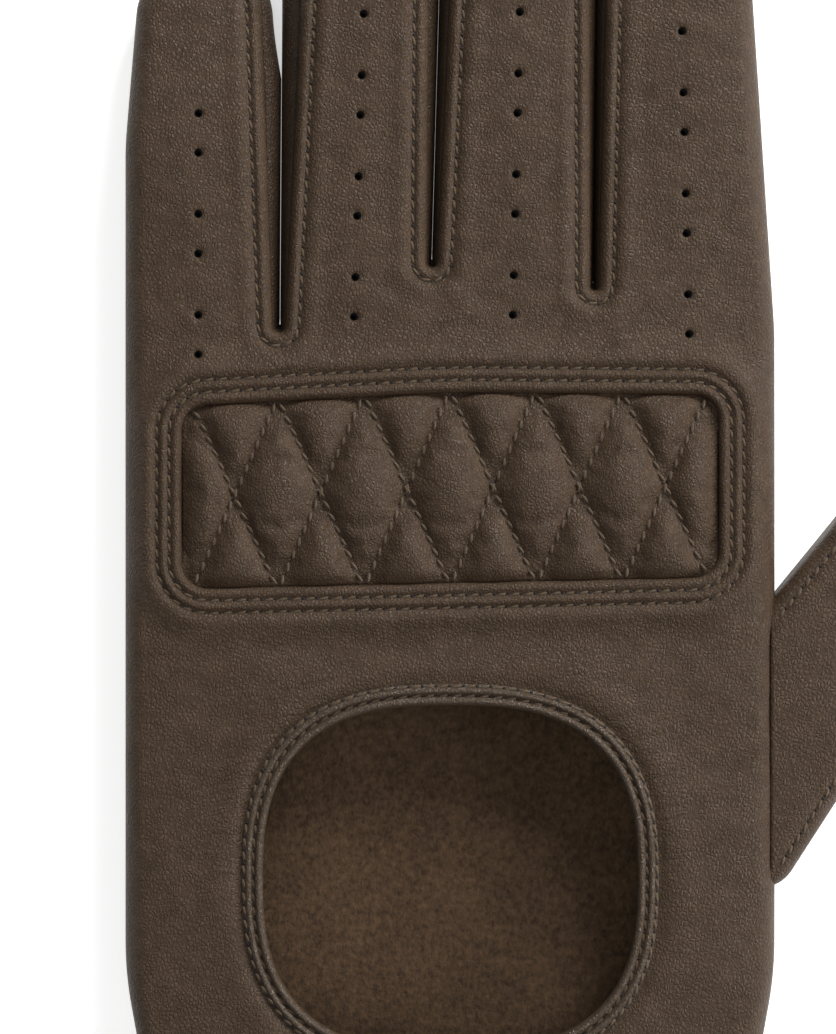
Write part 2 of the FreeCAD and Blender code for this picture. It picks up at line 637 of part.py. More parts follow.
def main():
    os.makedirs("parts", exist_ok=True)
    for name, shape in sorted(build().items()):
        solid = solids_of(shape)
        print(f"{name:30s} solids {len(solid.Solids):2d}  volume {solid.Volume:9.2f}",
              f" valid {solid.isValid()}")
        solid.exportStep(f"parts/{name}.step")
    for digit in [finger_digit(f) for f in FINGERS] + [thumb_digit()]:
        x, y = digit["hinge"]
        print(f"{digit['name']} hinge at {x:.3f} {y:.3f} {digit['half_height']:.3f}",
              f"turned {digit['angle']:.3f}")


main()
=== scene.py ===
import json
import math

import bmesh
import bpy
import numpy as np
from bmesh.types import BMEdge, BMFace, BMVert
from mathutils import Matrix, Vector, noise


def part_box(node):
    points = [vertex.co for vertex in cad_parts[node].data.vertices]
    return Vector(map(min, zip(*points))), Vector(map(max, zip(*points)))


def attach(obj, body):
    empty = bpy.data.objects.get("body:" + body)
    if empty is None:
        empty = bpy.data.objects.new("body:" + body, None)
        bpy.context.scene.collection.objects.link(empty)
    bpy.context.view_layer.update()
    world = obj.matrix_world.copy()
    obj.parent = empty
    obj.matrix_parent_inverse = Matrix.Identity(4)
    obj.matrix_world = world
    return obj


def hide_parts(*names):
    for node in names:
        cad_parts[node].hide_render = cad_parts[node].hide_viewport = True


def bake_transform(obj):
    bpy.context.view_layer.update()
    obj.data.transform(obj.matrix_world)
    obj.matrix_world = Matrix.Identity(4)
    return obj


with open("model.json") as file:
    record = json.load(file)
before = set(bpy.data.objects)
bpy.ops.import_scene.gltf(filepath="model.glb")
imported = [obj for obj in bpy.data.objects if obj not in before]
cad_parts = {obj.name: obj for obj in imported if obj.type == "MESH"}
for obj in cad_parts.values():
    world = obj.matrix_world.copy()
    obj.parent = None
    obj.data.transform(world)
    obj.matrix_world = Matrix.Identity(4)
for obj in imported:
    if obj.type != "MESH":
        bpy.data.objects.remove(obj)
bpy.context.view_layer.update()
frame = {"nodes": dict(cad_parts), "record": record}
mm = 0.001

# ---- Table, camera and light
# The glove lies palm down on a pale table, seen from straight above through a long lens. One large soft
# light stands beyond the fingertips, a weaker one to the thumb side, and a broad one hangs overhead.

VIEW_HEIGHT = 166.8 * mm
VIEW_CENTRE = (-5.2 * mm, 36.1 * mm)
LENS, SENSOR = 120.0, 36.0
BACK_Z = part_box("hand_back")[1].z

camera_data = bpy.data.cameras.new("camera")
camera_data.lens, camera_data.sensor_width = LENS, SENSOR
camera_data.clip_start, camera_data.clip_end = 0.01, 20
camera = bpy.data.objects.new("camera", camera_data)
camera.location = (*VIEW_CENTRE, BACK_Z + VIEW_HEIGHT * LENS / SENSOR)
bpy.context.scene.collection.objects.link(camera)
bpy.context.scene.camera = camera


def lamp(name, place, size, watts, colour):
    """Square soft light at a place, aimed at the middle of the hand."""
    data = bpy.data.lights.new(name, "AREA")
    data.shape, data.size, data.energy, data.color = "SQUARE", size, watts, colour
    light = bpy.data.objects.new(name, data)
    light.location = place
    aim = Vector((*VIEW_CENTRE, 0)) - Vector(place)
    light.rotation_euler = aim.to_track_quat("-Z", "Y").to_euler()
    bpy.context.scene.collection.objects.link(light)


lamp("light_beyond", (0.42, 0.88, 0.55), 0.40, 15.0, (1.0, 0.985, 0.96))
lamp("light_thumb_side", (0.95, -0.20, 0.40), 0.4, 9.0, (1.0, 0.98, 0.95))
lamp("light_overhead", (-0.25, -0.1, 1.3), 0.9, 5.0, (1.0, 1.0, 1.0))
world = bpy.data.worlds.new("studio")
world.use_nodes = True
world.node_tree.nodes["Background"].inputs["Color"].default_value = (0.95, 0.97, 1.0, 1)
world.node_tree.nodes["Background"].inputs["Strength"].default_value = 0.22
bpy.context.scene.world = world
bpy.context.scene.view_settings.view_transform = "Standard"


class Reading:
    """A shader socket's value. Arithmetic on it adds the Math nodes that work it out."""

    def __init__(self, finish, socket):
        self.finish, self.socket = finish, socket

    def worked(self, operation, *values):
        return self.finish.node("ShaderNodeMath", {"operation": operation}, dict(enumerate(values)))

    def __add__(self, other):
        return self.worked("ADD", self, other)

    def __sub__(self, other):
        return self.worked("SUBTRACT", self, other)

    def __mul__(self, other):
        return self.worked("MULTIPLY", self, other)

    def capped(self):
        return self.finish.node("ShaderNodeClamp", {}, {0: self})

    __radd__ = __add__
    __rmul__ = __mul__


class Finish:
    """A material under construction, with its Principled shader."""

    def __init__(self, name, **shader_values):
        self.material = bpy.data.materials.new(name)
        self.material.use_nodes = True
        self.tree = self.material.node_tree
        self.shader = self.tree.nodes["Principled BSDF"]
        self.at = self.node("ShaderNodeTexCoord", {}, {}, "Object")
        self.set_shader(**shader_values)

    def node(self, kind, settings, inputs, output=0):
        """Adds a node: settings first, then the values or links of its sockets. Gives one of its outputs."""
        made = self.tree.nodes.new(kind)
        for key, value in settings.items():
            setattr(made, key, value)
        for key, value in inputs.items():
            if isinstance(value, Reading):
                self.tree.links.new(value.socket, made.inputs[key])
            else:
                made.inputs[key].default_value = value
        return Reading(self, made.outputs[output])

    def set_shader(self, **values):
        for key, value in values.items():
            socket = self.shader.inputs[key.replace("_", " ")]
            if isinstance(value, Reading):
                self.tree.links.new(value.socket, socket)
            else:
                socket.default_value = value

    def stretched(self, vector, scale, turn=(0, 0, 0)):
        turned = self.node("ShaderNodeMapping", {}, {"Vector": vector, "Rotation": turn})
        return self.node("ShaderNodeMapping", {}, {"Vector": turned, "Scale": scale})

    def clouds(self, size, detail=2.0, vector=None, roughness=0.5):
        """Soft noise whose blobs are about a given size."""
        return self.node("ShaderNodeTexNoise", {}, {"Vector": vector or self.at, "Scale": 1 / size,
                                                     "Detail": detail, "Roughness": roughness}, "Fac")

    def cells(self, size, feature="F1", vector=None, output="Distance"):
        return self.node("ShaderNodeTexVoronoi", {"feature": feature},
                         {"Vector": vector or self.at, "Scale": 1 / size}, output)

    def between(self, share, first, second):
        """Colour that goes from the first to the second as share goes from 0 to 1."""
        return self.node("ShaderNodeMix", {"data_type": "RGBA"}, {0: share, 6: first, 7: second}, 2)

    def bumped(self, height, depth, strength):
        return self.node("ShaderNodeBump", {}, {"Height": height, "Distance": depth, "Strength": strength})


def rgb(red, green, blue):
    return (red, green, blue, 1.0)


TABLE_SIZE = 3.0
table_finish = Finish("pale_table", Base_Color=rgb(0.9, 0.9, 0.89), Roughness=0.8)
table_finish.set_shader(Emission_Color=rgb(1, 1, 1), Emission_Strength=0.55)
table_mesh = bmesh.new()
bmesh.ops.create_grid(table_mesh, x_segments=1, y_segments=1, size=TABLE_SIZE / 2)
table_data = bpy.data.meshes.new("table")
table_mesh.to_mesh(table_data)
table_mesh.free()
table = bpy.data.objects.new("table", table_data)
table_data.materials.append(table_finish.material)
bpy.context.scene.collection.objects.link(table)


# ---- Leather skin of the back, with its fingers
# One piece of soft nappa lamb leather, 1 mm thick and unlined, cut with four finger backs. Its edge is
# turned under along each finger slit and topstitched, a window is cut for the knuckle pad, and the fingers
# are punched with pairs of ventilation holes.

LEATHER = 1.0 * mm
FINGERS = [
    {"name": "little", "left": -52.75 * mm, "right": -28.65 * mm, "tip_width": 19.6 * mm, "lean": 0.0},
    {"name": "ring", "left": -26.85 * mm, "right": -3.75 * mm, "tip_width": 19.4 * mm, "lean": 2.4 * mm},
    {"name": "middle", "left": -2.25 * mm, "right": 22.75 * mm, "tip_width": 20.8 * mm, "lean": 1.95 * mm},
    {"name": "index", "left": 23.95 * mm, "right": 52.75 * mm, "tip_width": 21.6 * mm, "lean": -1.75 * mm},
]
TIP_FLAT = 0.4 * mm
SLIT_SEAM = 2.4 * mm
SEAM_THREAD = 0.6 * mm
SIDE_ROUND = 60.0 * mm
EDGE_ROLL = 3.3 * mm
SLIT_ROLL = 1.2 * mm
PATH_STEP = 0.8 * mm
RINGS = [0.0, 0.18, 0.45, 0.8, 1.2, 1.65, 2.0, 2.25, 2.5, 2.9]
CELL = 0.85 * mm
HOLE_RADIUS = 0.68 * mm
PUNCHED_EDGE = [(0.3 * mm, 0.97), (0.6 * mm, 0.85), (0.7 * mm, 0.35)]   # each step's depth and narrowing
HOLE_PAIRS = {"little": 3, "ring": 4, "middle": 4, "index": 4}
HOLE_GAP, PAIR_PITCH = 6.4 * mm, 16.3 * mm
HINGE_PAST_HOLE = 5.5 * mm
BEND_REACH = 14.3 * mm   # a digit's leather bends over this length, each side of its hinge

hand_low, hand_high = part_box("hand_palm")
WRIST_Y = hand_low.y
WRIST_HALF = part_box("hem_thread")[1].x + 4.4 * mm
TAPER_Y = WRIST_Y + 37.0 * mm
joints = {joint["name"]: joint for joint in frame["record"]["behaviour"]["joints"]}
for index, finger in enumerate(FINGERS):
    finger["hinge"] = Vector(joints[finger["name"] + "_bend"]["pos_m"])
    finger["tip_y"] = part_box(finger["name"] + "_tip_palm")[1].y
    finger["root_x"] = (finger["left"] + finger["right"]) / 2
    finger["first_hole_y"] = finger["hinge"].y - HINGE_PAST_HOLE - HOLE_GAP - PAIR_PITCH
    if index < 3:
        seam_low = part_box("slit_thread_{}_{}".format(finger["name"], FINGERS[index + 1]["name"]))[0].y
        finger["crotch"] = seam_low + SLIT_SEAM + SEAM_THREAD / 2
for index, finger in enumerate(FINGERS):
    near = [FINGERS[i]["crotch"] for i in (index - 1, index) if 0 <= i < 3]
    finger["root_y"] = max(near)
    finger["slope"] = finger["lean"] / (finger["tip_y"] - finger["root_y"])
    finger["along"] = Vector((finger["slope"], 1, 0)).normalized()


def unit(vector):
    return vector / np.linalg.norm(vector)


def rounded_path(corners, step):
    """Points about a step apart along a closed outline with rounded corners (x, y, radius)."""
    ends, count = [], len(corners)
    places = [np.array(corner[:2]) for corner in corners]
    for i, corner in enumerate(corners):
        here, radius = places[i], corner[2]
        if radius <= 0:
            ends.append([here])
            continue
        before, after = unit(places[i - 1] - here), unit(places[(i + 1) % count] - here)
        half = math.acos(np.clip(before @ after, -1, 1)) / 2
        centre = here + unit(before + after) * radius / math.sin(half)
        first, last = here + before * radius / math.tan(half), here + after * radius / math.tan(half)
        start = math.atan2(*(first - centre)[::-1])
        turn = (math.atan2(*(last - centre)[::-1]) - start + math.pi) % (2 * math.pi) - math.pi
        parts = max(8, math.ceil(abs(turn) * radius / step))
        angles = start + turn * np.arange(parts + 1) / parts
        ends.append(list(centre + radius * np.stack((np.cos(angles), np.sin(angles)), 1)))
    points = []
    for i, arc in enumerate(ends):
        points.extend(arc)
        following = ends[(i + 1) % count][0]
        parts = max(1, math.ceil(np.linalg.norm(following - arc[-1]) / step))
        points.extend(arc[-1] + (following - arc[-1]) * k / parts for k in range(1, parts))
    return np.array(points)


def moved_in(path, distance, closed=True):
    """A path's points moved to their right, which is inwards on a clockwise outline."""
    forward = np.roll(path, -1, 0) - path
    backward = path - np.roll(path, 1, 0)
    if not closed:
        forward[-1], backward[0] = backward[-1], forward[0]
    forward /= np.linalg.norm(forward, axis=1)[:, None]
    backward /= np.linalg.norm(backward, axis=1)[:, None]
    tangent = forward + backward
    tangent /= np.linalg.norm(tangent, axis=1)[:, None]
    reach = 1 / np.clip((tangent * forward).sum(1), 0.5, 1)
    right = np.stack((tangent[:, 1], -tangent[:, 0]), 1)
    return path + right * (reach * distance)[:, None]


def nearest(points, path, closed=True):
    """Distance from each point to the nearest place on a path, and the number of the stretch there."""
    start, end = (path, np.roll(path, -1, 0)) if closed else (path[:-1], path[1:])
    along = end - start
    square = np.maximum((along ** 2).sum(1), 1e-18)
    distances, stretches = [], []
    for part in np.array_split(points, len(points) // 3000 + 1):
        offset = part[:, None] - start[None]
        share = np.clip((offset * along[None]).sum(2) / square, 0, 1)
        away = ((offset - share[..., None] * along[None]) ** 2).sum(2)
        stretches.append(away.argmin(1))
        distances.append(np.sqrt(away.min(1)))
    return np.concatenate(distances), np.concatenate(stretches)


BINDING_WIDTH = 3.4 * mm
OPENING_HALF_WIDTH = 30.3 * mm
OPENING_HALF_HEIGHT = 28.0 * mm
OPENING_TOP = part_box("opening_binding")[1].y - BINDING_WIDTH
OPENING_Y = OPENING_TOP - OPENING_HALF_HEIGHT
OPENING_POWER = 2.7
NECK_HALF = 4.0 * mm
NECK_ROUND = 8.0 * mm


def run_along(path):
    """How far along a line each of its points is."""
    return np.concatenate(([0], np.cumsum(np.linalg.norm(np.diff(path, axis=0), axis=1))))


def evenly(path, step):
    """The same line with its points a step apart."""
    lengths = run_along(path)
    places = np.linspace(0, lengths[-1], max(2, round(lengths[-1] / step) + 1))
    return np.stack([np.interp(places, lengths, path[:, k]) for k in range(path.shape[1])], 1)


def opening_thumb_half():
    """Thumb side half of the opening's edge, from the wrist up the neck and round to its top."""
    turns = np.linspace(-math.pi / 2, math.pi / 2, 120)
    c, s = np.cos(turns), np.sin(turns)
    power = 2 / OPENING_POWER
    curve = np.stack((OPENING_HALF_WIDTH * np.abs(c) ** power,
                      OPENING_Y + OPENING_HALF_HEIGHT * np.sign(s) * np.abs(s) ** power), 1)
    curve = curve[(curve[:, 0] > NECK_HALF + NECK_ROUND) | (turns > 0)]
    first, foot = curve[0], curve[0][1] - 0.8 * NECK_ROUND
    share = np.linspace(0, 1, 12)[:-1, None]
    bend = (1 - share) ** 2 * (NECK_HALF, foot) + 2 * share * (1 - share) * (NECK_HALF, first[1])
    bend += share ** 2 * first
    return evenly(np.concatenate(([(NECK_HALF, WRIST_Y)], bend, curve)), PATH_STEP)


opening_right = opening_thumb_half()
opening_left = opening_right[-2::-1] * (-1, 1)
opening_path = np.concatenate((opening_left[::-1], opening_right[::-1]))
WRIST_ROUND = 3.2 * mm


def glove_corners():
    """Corners of the outline from the wrist up the little finger's side, over the tips and down again."""
    first, last = FINGERS[0], FINGERS[-1]
    corners = [(-WRIST_HALF, WRIST_Y, WRIST_ROUND), (first["left"], TAPER_Y, SIDE_ROUND),
               (first["left"], (first["crotch"] + first["tip_y"]) / 2, SIDE_ROUND)]
    for i, finger in enumerate(FINGERS):
        half = finger["tip_width"] / 2
        middle = finger["root_x"] + finger["lean"]
        corners.append((middle - half, finger["tip_y"], half - TIP_FLAT))
        corners.append((middle + half, finger["tip_y"], half - TIP_FLAT))
        if "crotch" in finger:
            end, start = finger["right"], FINGERS[i + 1]["left"]
            corners.append((end, finger["crotch"], 0.48 * (start - end)))
            corners.append((start, finger["crotch"], 0.48 * (start - end)))
    corners.append((last["right"], FINGERS[2]["crotch"] - 2 * EDGE_ROLL, SIDE_ROUND))
    corners.append((last["right"], TAPER_Y, SIDE_ROUND))
    corners.append((WRIST_HALF, WRIST_Y, WRIST_ROUND))
    return corners


palm_path = rounded_path(glove_corners(), PATH_STEP)
wrist_end = palm_path[0] * (-1, 1)
wrist_turn = int(np.argmin(np.abs(palm_path - wrist_end).sum(1)))
digit_edge = palm_path[:wrist_turn + 1]
wrist_x = np.arange(wrist_end[0] - PATH_STEP, NECK_HALF + WRIST_ROUND, -PATH_STEP)
wrist_right = np.array([(x, WRIST_Y) for x in wrist_x])
turns = np.linspace(0, math.pi / 2, 7)
mouth = np.stack((NECK_HALF + WRIST_ROUND * (1 - np.sin(turns)),
                  WRIST_Y + WRIST_ROUND * (1 - np.cos(turns))), 1)
neck_side = opening_right[opening_right[:, 1] > WRIST_Y + WRIST_ROUND + 0.4 * mm]
over_top = np.concatenate((neck_side, neck_side[-2::-1] * (-1, 1)))
turned_back = np.concatenate((wrist_right, mouth))
back_path = np.concatenate((digit_edge, turned_back, over_top, turned_back[::-1] * (-1, 1)))


def tip_number(finger):
    """Which point of the outline is the middle of a fingertip."""
    middle = np.array((finger["root_x"] + finger["lean"], finger["tip_y"]))
    return int(np.argmin(np.linalg.norm(digit_edge - middle, axis=1)))


tip_numbers = [tip_number(finger) for finger in FINGERS]
crotch_numbers = []
for finger, after in zip(FINGERS, FINGERS[1:]):
    crotch = ((finger["right"] + after["left"]) / 2, finger["crotch"])
    crotch_numbers.append(int(np.linalg.norm(digit_edge - crotch, axis=1).argmin()))
slit_edge = digit_edge[tip_numbers[0]:tip_numbers[-1] + 1]
GUSSET_TAPER = 11.0 * mm


def smooth(value, low, high):
    """0 below low, 1 above high, smooth between."""
    share = np.clip((value - low) / (high - low), 0, 1)
    return share * share * (3 - 2 * share)


def bell(distance, width):
    return np.exp(-(distance / width) ** 2)


def open_share():
    """How wide the gusset is at points of the outline: 0 at a fingertip, 1 in a slit."""
    run = run_along(digit_edge)
    tips = run[tip_numbers]
    share = smooth(np.abs(run[:, None] - tips[None]).min(1), 1.0 * mm, GUSSET_TAPER)
    share[:tip_numbers[0]] = 0
    share[tip_numbers[-1]:] = 0
    return share


gusset_share = open_share()
WINDOW_SEAM_NEAR, WINDOW_SEAM_FAR = 2.0 * mm, 4.0 * mm
WINDOW_INSET = WINDOW_SEAM_NEAR + SEAM_THREAD / 2
WINDOW_HEIGHT, WINDOW_RISE, WINDOW_ARCH, WINDOW_CORNER = 29.5 * mm, 1.9 * mm, 1.3 * mm, 4.2 * mm
WINDOW_SAG = 0.6 * mm
seam_low, seam_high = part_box("knuckle_seam_near")
window_left, window_right = seam_low.x + WINDOW_INSET, seam_high.x - WINDOW_INSET
window_low = seam_low.y + WINDOW_INSET - WINDOW_SAG
window_path = rounded_path(
    [(window_left, window_low, WINDOW_CORNER), (window_left, window_low + WINDOW_HEIGHT, WINDOW_CORNER),
     (0, window_low + WINDOW_HEIGHT + WINDOW_RISE / 2 + WINDOW_ARCH, 4 * SIDE_ROUND),
     (window_right, window_low + WINDOW_HEIGHT + WINDOW_RISE, WINDOW_CORNER),
     (window_right, window_low + WINDOW_RISE, WINDOW_CORNER)], PATH_STEP)


def rolled(distance, radius):
    """How far a rounded edge lies below the surface at a distance from the edge."""
    left = np.clip(radius - distance, 0, radius)
    return radius - np.sqrt(radius ** 2 - left ** 2)


def lumps(points, size, seed):
    """Smooth random height from -1 to 1 at each point."""
    return np.array([noise.noise(Vector((x / size, y / size, seed))) for x, y in points])


def crotch_folds(points):
    """Folds that run out from the ends of the finger slits."""
    height = np.zeros(len(points))
    for number, finger in enumerate(FINGERS[:3]):
        away = points - (finger["right"] + 0.8 * mm, finger["crotch"] - 1.0 * mm)
        far = np.linalg.norm(away, axis=1)
        angle = np.arctan2(away[:, 0], -away[:, 1])
        wave = [noise.noise(Vector((a * 3.0, f / (11 * mm), 5.0 + number))) for a, f in zip(angle, far)]
        height += np.array(wave) * bell(far - 6 * mm, 5.0 * mm) * smooth(-away[:, 1], -3 * mm, 1 * mm)
    return height


def crease_share(points):
    """How much the skin is creased: most beside the shoulders of the opening and round the finger slits."""
    points = np.asarray(points, float)
    opening = nearest(points, opening_path, closed=False)[0]
    share = bell(opening - 6 * mm, 6 * mm) * smooth(points[:, 1], OPENING_Y - 8 * mm, OPENING_Y + 12 * mm)
    share *= smooth(np.abs(points[:, 0]), 8 * mm, 24 * mm)
    for finger in FINGERS[:3]:
        away = np.linalg.norm(points - (finger["right"] + 4 * mm, finger["crotch"] - 5 * mm), axis=1)
        share = np.maximum(share, 0.8 * bell(away, 7 * mm))
    return share * smooth(opening, 3.4 * mm, 4.4 * mm)


TIP_DROP, TIP_DROP_START, TIP_DROP_END = 2.8 * mm, -34 * mm, 2 * mm   # a finger's back falls to its tip


def back_height(points):
    """Height of the back's upper side over flat points."""
    points = np.asarray(points, float)
    y = points[:, 1]
    edge, stretch = nearest(points, digit_edge, closed=False)
    gusset = gusset_share[stretch]
    window, opening = nearest(points, window_path)[0], nearest(points, opening_path, closed=False)[0]
    z = BACK_Z - 0.9 * mm + 1.0 * mm * (1 - np.exp(-edge / (5 * mm)))
    z -= gusset * rolled(edge, SLIT_ROLL) + (1 - gusset) * rolled(edge, EDGE_ROLL)
    z -= 0.42 * mm * gusset * bell(edge - SLIT_SEAM, 0.45 * mm)
    z += gusset * (0.24 * mm * bell(edge - 1.3 * mm, 0.6 * mm) + 0.34 * mm * bell(edge - 4.1 * mm, 1.4 * mm))
    z += 0.75 * mm * (1 - smooth(window, 5.2 * mm, 10.0 * mm))
    for row, depth in ((WINDOW_SEAM_NEAR, 0.42 * mm), (WINDOW_SEAM_FAR, 0.50 * mm)):
        z -= depth * bell(window - row, 0.42 * mm)
    z += 0.24 * mm * bell(window - 3.0 * mm, 0.5 * mm) + 0.30 * mm * bell(window - 5.5 * mm, 1.0 * mm)
    z += 0.16 * mm * bell(window - 1.05 * mm, 0.45 * mm)
    z -= rolled(window, 0.9 * mm)
    z -= 0.35 * mm * (1 - smooth(opening, 3.3 * mm, 5.0 * mm))
    z += 0.25 * mm * bell(opening - 6.5 * mm, 2.4 * mm)
    above_wrist = y - WRIST_Y
    z += 0.35 * mm * (1 - smooth(above_wrist, 7.0 * mm, 8.5 * mm))
    z -= 0.2 * mm * bell(above_wrist - 6 * mm, 0.5 * mm)
    calm = smooth(window, 4 * mm, 9 * mm) * smooth(opening, 4 * mm, 9 * mm) * smooth(edge, 1 * mm, 4 * mm)
    z += calm * (0.42 * mm * lumps(points, 17 * mm, 1.7)
                 + 0.16 * mm * lumps(points / (1.0, 0.55), 6 * mm, 9.1))
    z += 0.25 * mm * crotch_folds(points) * smooth(edge, 1.6 * mm, 3 * mm) * smooth(window, 4.5 * mm, 7 * mm)
    mine = np.searchsorted(crotch_numbers, stretch)
    for number, finger in enumerate(FINGERS):
        z -= TIP_DROP * (mine == number) * smooth(y - finger["tip_y"], TIP_DROP_START, TIP_DROP_END)
    return z


def picked(parts, kind):
    """The verts, edges or faces out of what a mesh operator gives back."""
    return [part for part in parts if isinstance(part, kind)]


def open_edges(bm):
    return [edge for edge in bm.edges if len(edge.link_faces) == 1]


def banded(bm, path, profile, mark=0, closed=True):
    """Rows of faces along a path. The profile gives each row's distance inside the path and its height."""
    rows = [(moved_in(path, distance, closed), height) for distance, height in profile]
    across, down = len(path) - (not closed), len(rows) - 1
    layer = bm.verts.layers.int.get("mark") or bm.verts.layers.int.new("mark")
    verts = bmesh.ops.create_grid(bm, x_segments=across, y_segments=down, size=1)["verts"]
    for vert in verts:
        column, row = round((vert.co.x + 1) / 2 * across), round((vert.co.y + 1) / 2 * down)
        places, height = rows[row]
        vert.co = (*places[column % len(path)], height)
        vert[layer] = mark if row == down else 0
    bmesh.ops.remove_doubles(bm, verts=verts, dist=1e-7)


def marked_edges(bm, mark):
    layer = bm.verts.layers.int["mark"]
    return [e for e in open_edges(bm) if e.verts[0][layer] == mark and e.verts[1][layer] == mark]


def diced(bm, faces, cell):
    """Cuts flat faces into a grid."""
    for axis in (0, 1):
        direction = Vector((axis == 0, axis == 1, 0))
        places = [v.co[axis] for f in faces for v in f.verts]
        rest, done = faces, []
        for place in np.arange(min(places) + 0.5 * cell, max(places), cell):
            parts = {v for f in rest for v in f.verts} | {e for f in rest for e in f.edges}
            cut = bmesh.ops.bisect_plane(bm, geom=[*rest, *parts], dist=1e-8, plane_co=direction * place,
                                         plane_no=direction)["geom"]
            cut = picked(cut, BMFace)
            rest = [f for f in cut if f.calc_center_median()[axis] > place]
            done += [f for f in cut if f.calc_center_median()[axis] <= place]
        faces = done + rest
    return faces


def filled_in(bm, marks, cell):
    """Fills the flat space between marked rows, and cuts it into a grid."""
    fan = bm.edges.layers.int.new("fan")
    edges = [e for mark in marks for e in marked_edges(bm, mark)]
    before = set(bm.edges)
    made = bmesh.ops.triangle_fill(bm, use_beauty=True, edges=edges, normal=(0, 0, 1))["geom"]
    for edge in set(bm.edges) - before:
        edge[fan] = 1
    diced(bm, picked(made, BMFace), cell)
    inside = [e for e in bm.edges if e[fan] and len(e.link_faces) == 2]
    bmesh.ops.dissolve_edges(bm, edges=inside, use_verts=True)
    bm.edges.layers.int.remove(bm.edges.layers.int["fan"])


def flat_points(bm):
    return np.array([v.co[:2] for v in bm.verts])


def set_heights(bm, heights):
    for vert, height in zip(bm.verts, heights):
        vert.co.z = height


def hole_places(finger):
    """Middles of a finger's ventilation holes."""
    for pair in range(HOLE_PAIRS[finger["name"]]):
        for step in (0.0, HOLE_GAP):
            y = finger["first_hole_y"] + pair * PAIR_PITCH + step
            yield finger["root_x"] + finger["slope"] * (y - finger["root_y"]), y


def face_up(bm, up=True):
    bm.normal_update()
    bmesh.ops.reverse_faces(bm, faces=[f for f in bm.faces if (f.normal.z > 0) != up])


EDGE, WINDOW, HOLE = 1, 2, 3
MID_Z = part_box("hand_palm")[1].z
FOLD_DEPTH = 0.6 * mm
WALL_ROWS = 5
SEAM_DENT = 0.35 * mm
SKIRT = 0.9 * mm


def wall_foot(height, gusset, side):
    """Where the side of a skin ends: at the side seam, or where a gusset is set in."""
    return MID_Z + gusset * (height - side * FOLD_DEPTH - MID_Z)


def add_walls(bm, side):
    """Turns the skin's edge down to its side seam and into the slits: side is 1 on the back, -1 below."""
    rim = open_edges(bm)
    middles = np.array([(e.verts[0].co + e.verts[1].co)[:2] for e in rim]) / 2
    rim = [e for e, d in zip(rim, nearest(middles, digit_edge, closed=False)[0]) if d < 0.02 * mm]
    for k in range(WALL_ROWS):
        grown = bmesh.ops.extrude_edge_only(bm, edges=rim)["geom"]
        verts = picked(grown, BMVert)
        rim = picked(grown, BMEdge)
        points = np.array([v.co[:2] for v in verts])
        gusset = gusset_share[nearest(points, digit_edge, closed=False)[1]]
        for vert, share in zip(verts, gusset):
            foot = wall_foot(vert.co.z, share, side)
            whole = -side * FOLD_DEPTH / WALL_ROWS
            vert.co.z += (foot - vert.co.z) / (WALL_ROWS - k) if share < 1 else whole
        if k == WALL_ROWS - 1:
            inward = moved_in(digit_edge, SEAM_DENT, closed=False) - digit_edge
            inward = inward[nearest(points, digit_edge, closed=False)[1]]
            for vert, step, share in zip(verts, inward, gusset):
                vert.co += Vector((*step, 0)) * (1 - share)
    return rim


def digit_of(point, number=None):
    """Number of the finger whose bending end a point is on, or -1 for the hand."""
    if number is None:
        beside = [abs(point.x - finger["root_x"] - finger["slope"] * (point.y - finger["root_y"]))
                  - (finger["right"] - finger["left"]) / 2 for finger in FINGERS]
        number = beside.index(min(beside))
    finger = FINGERS[number]
    return number if (point - finger["hinge"]).dot(finger["along"]) > -BEND_REACH else -1


def thickened(bm, thickness):
    """Gives a sheet its thickness inwards. Its inner side has the second material."""
    bm.normal_update()
    outward = bm.verts.layers.float_vector.new("outward")
    for vert in bm.verts:
        vert[outward] = vert.normal
    inner = bmesh.ops.solidify(bm, geom=bm.faces[:], thickness=0)["geom"]
    inner = picked(inner, BMFace)
    for face in inner:
        face.material_index = 1
    for vert in {vert for face in inner for vert in face.verts}:
        vert.co -= vert[outward] * thickness


def outside_out(bm, up=True):
    """Turns all faces of a joined sheet the same way, with its broad side up or down."""
    bmesh.ops.recalc_face_normals(bm, faces=bm.faces[:])
    bm.normal_update()
    if (sum(f.normal.z * f.calc_area() for f in bm.faces) > 0) != up:
        bmesh.ops.reverse_faces(bm, faces=bm.faces[:])


def as_piece(bm, name, materials, nodes=()):
    """Makes a mesh an object, and stands it in for its CAD nodes."""
    data = bpy.data.meshes.new(name)
    bm.to_mesh(data)
    bm.free()
    for material in materials:
        data.materials.append(material)
    data.shade_smooth()
    piece = bpy.data.objects.new(name, data)
    bpy.context.scene.collection.objects.link(piece)
    if nodes:
        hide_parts(*nodes)
    return piece


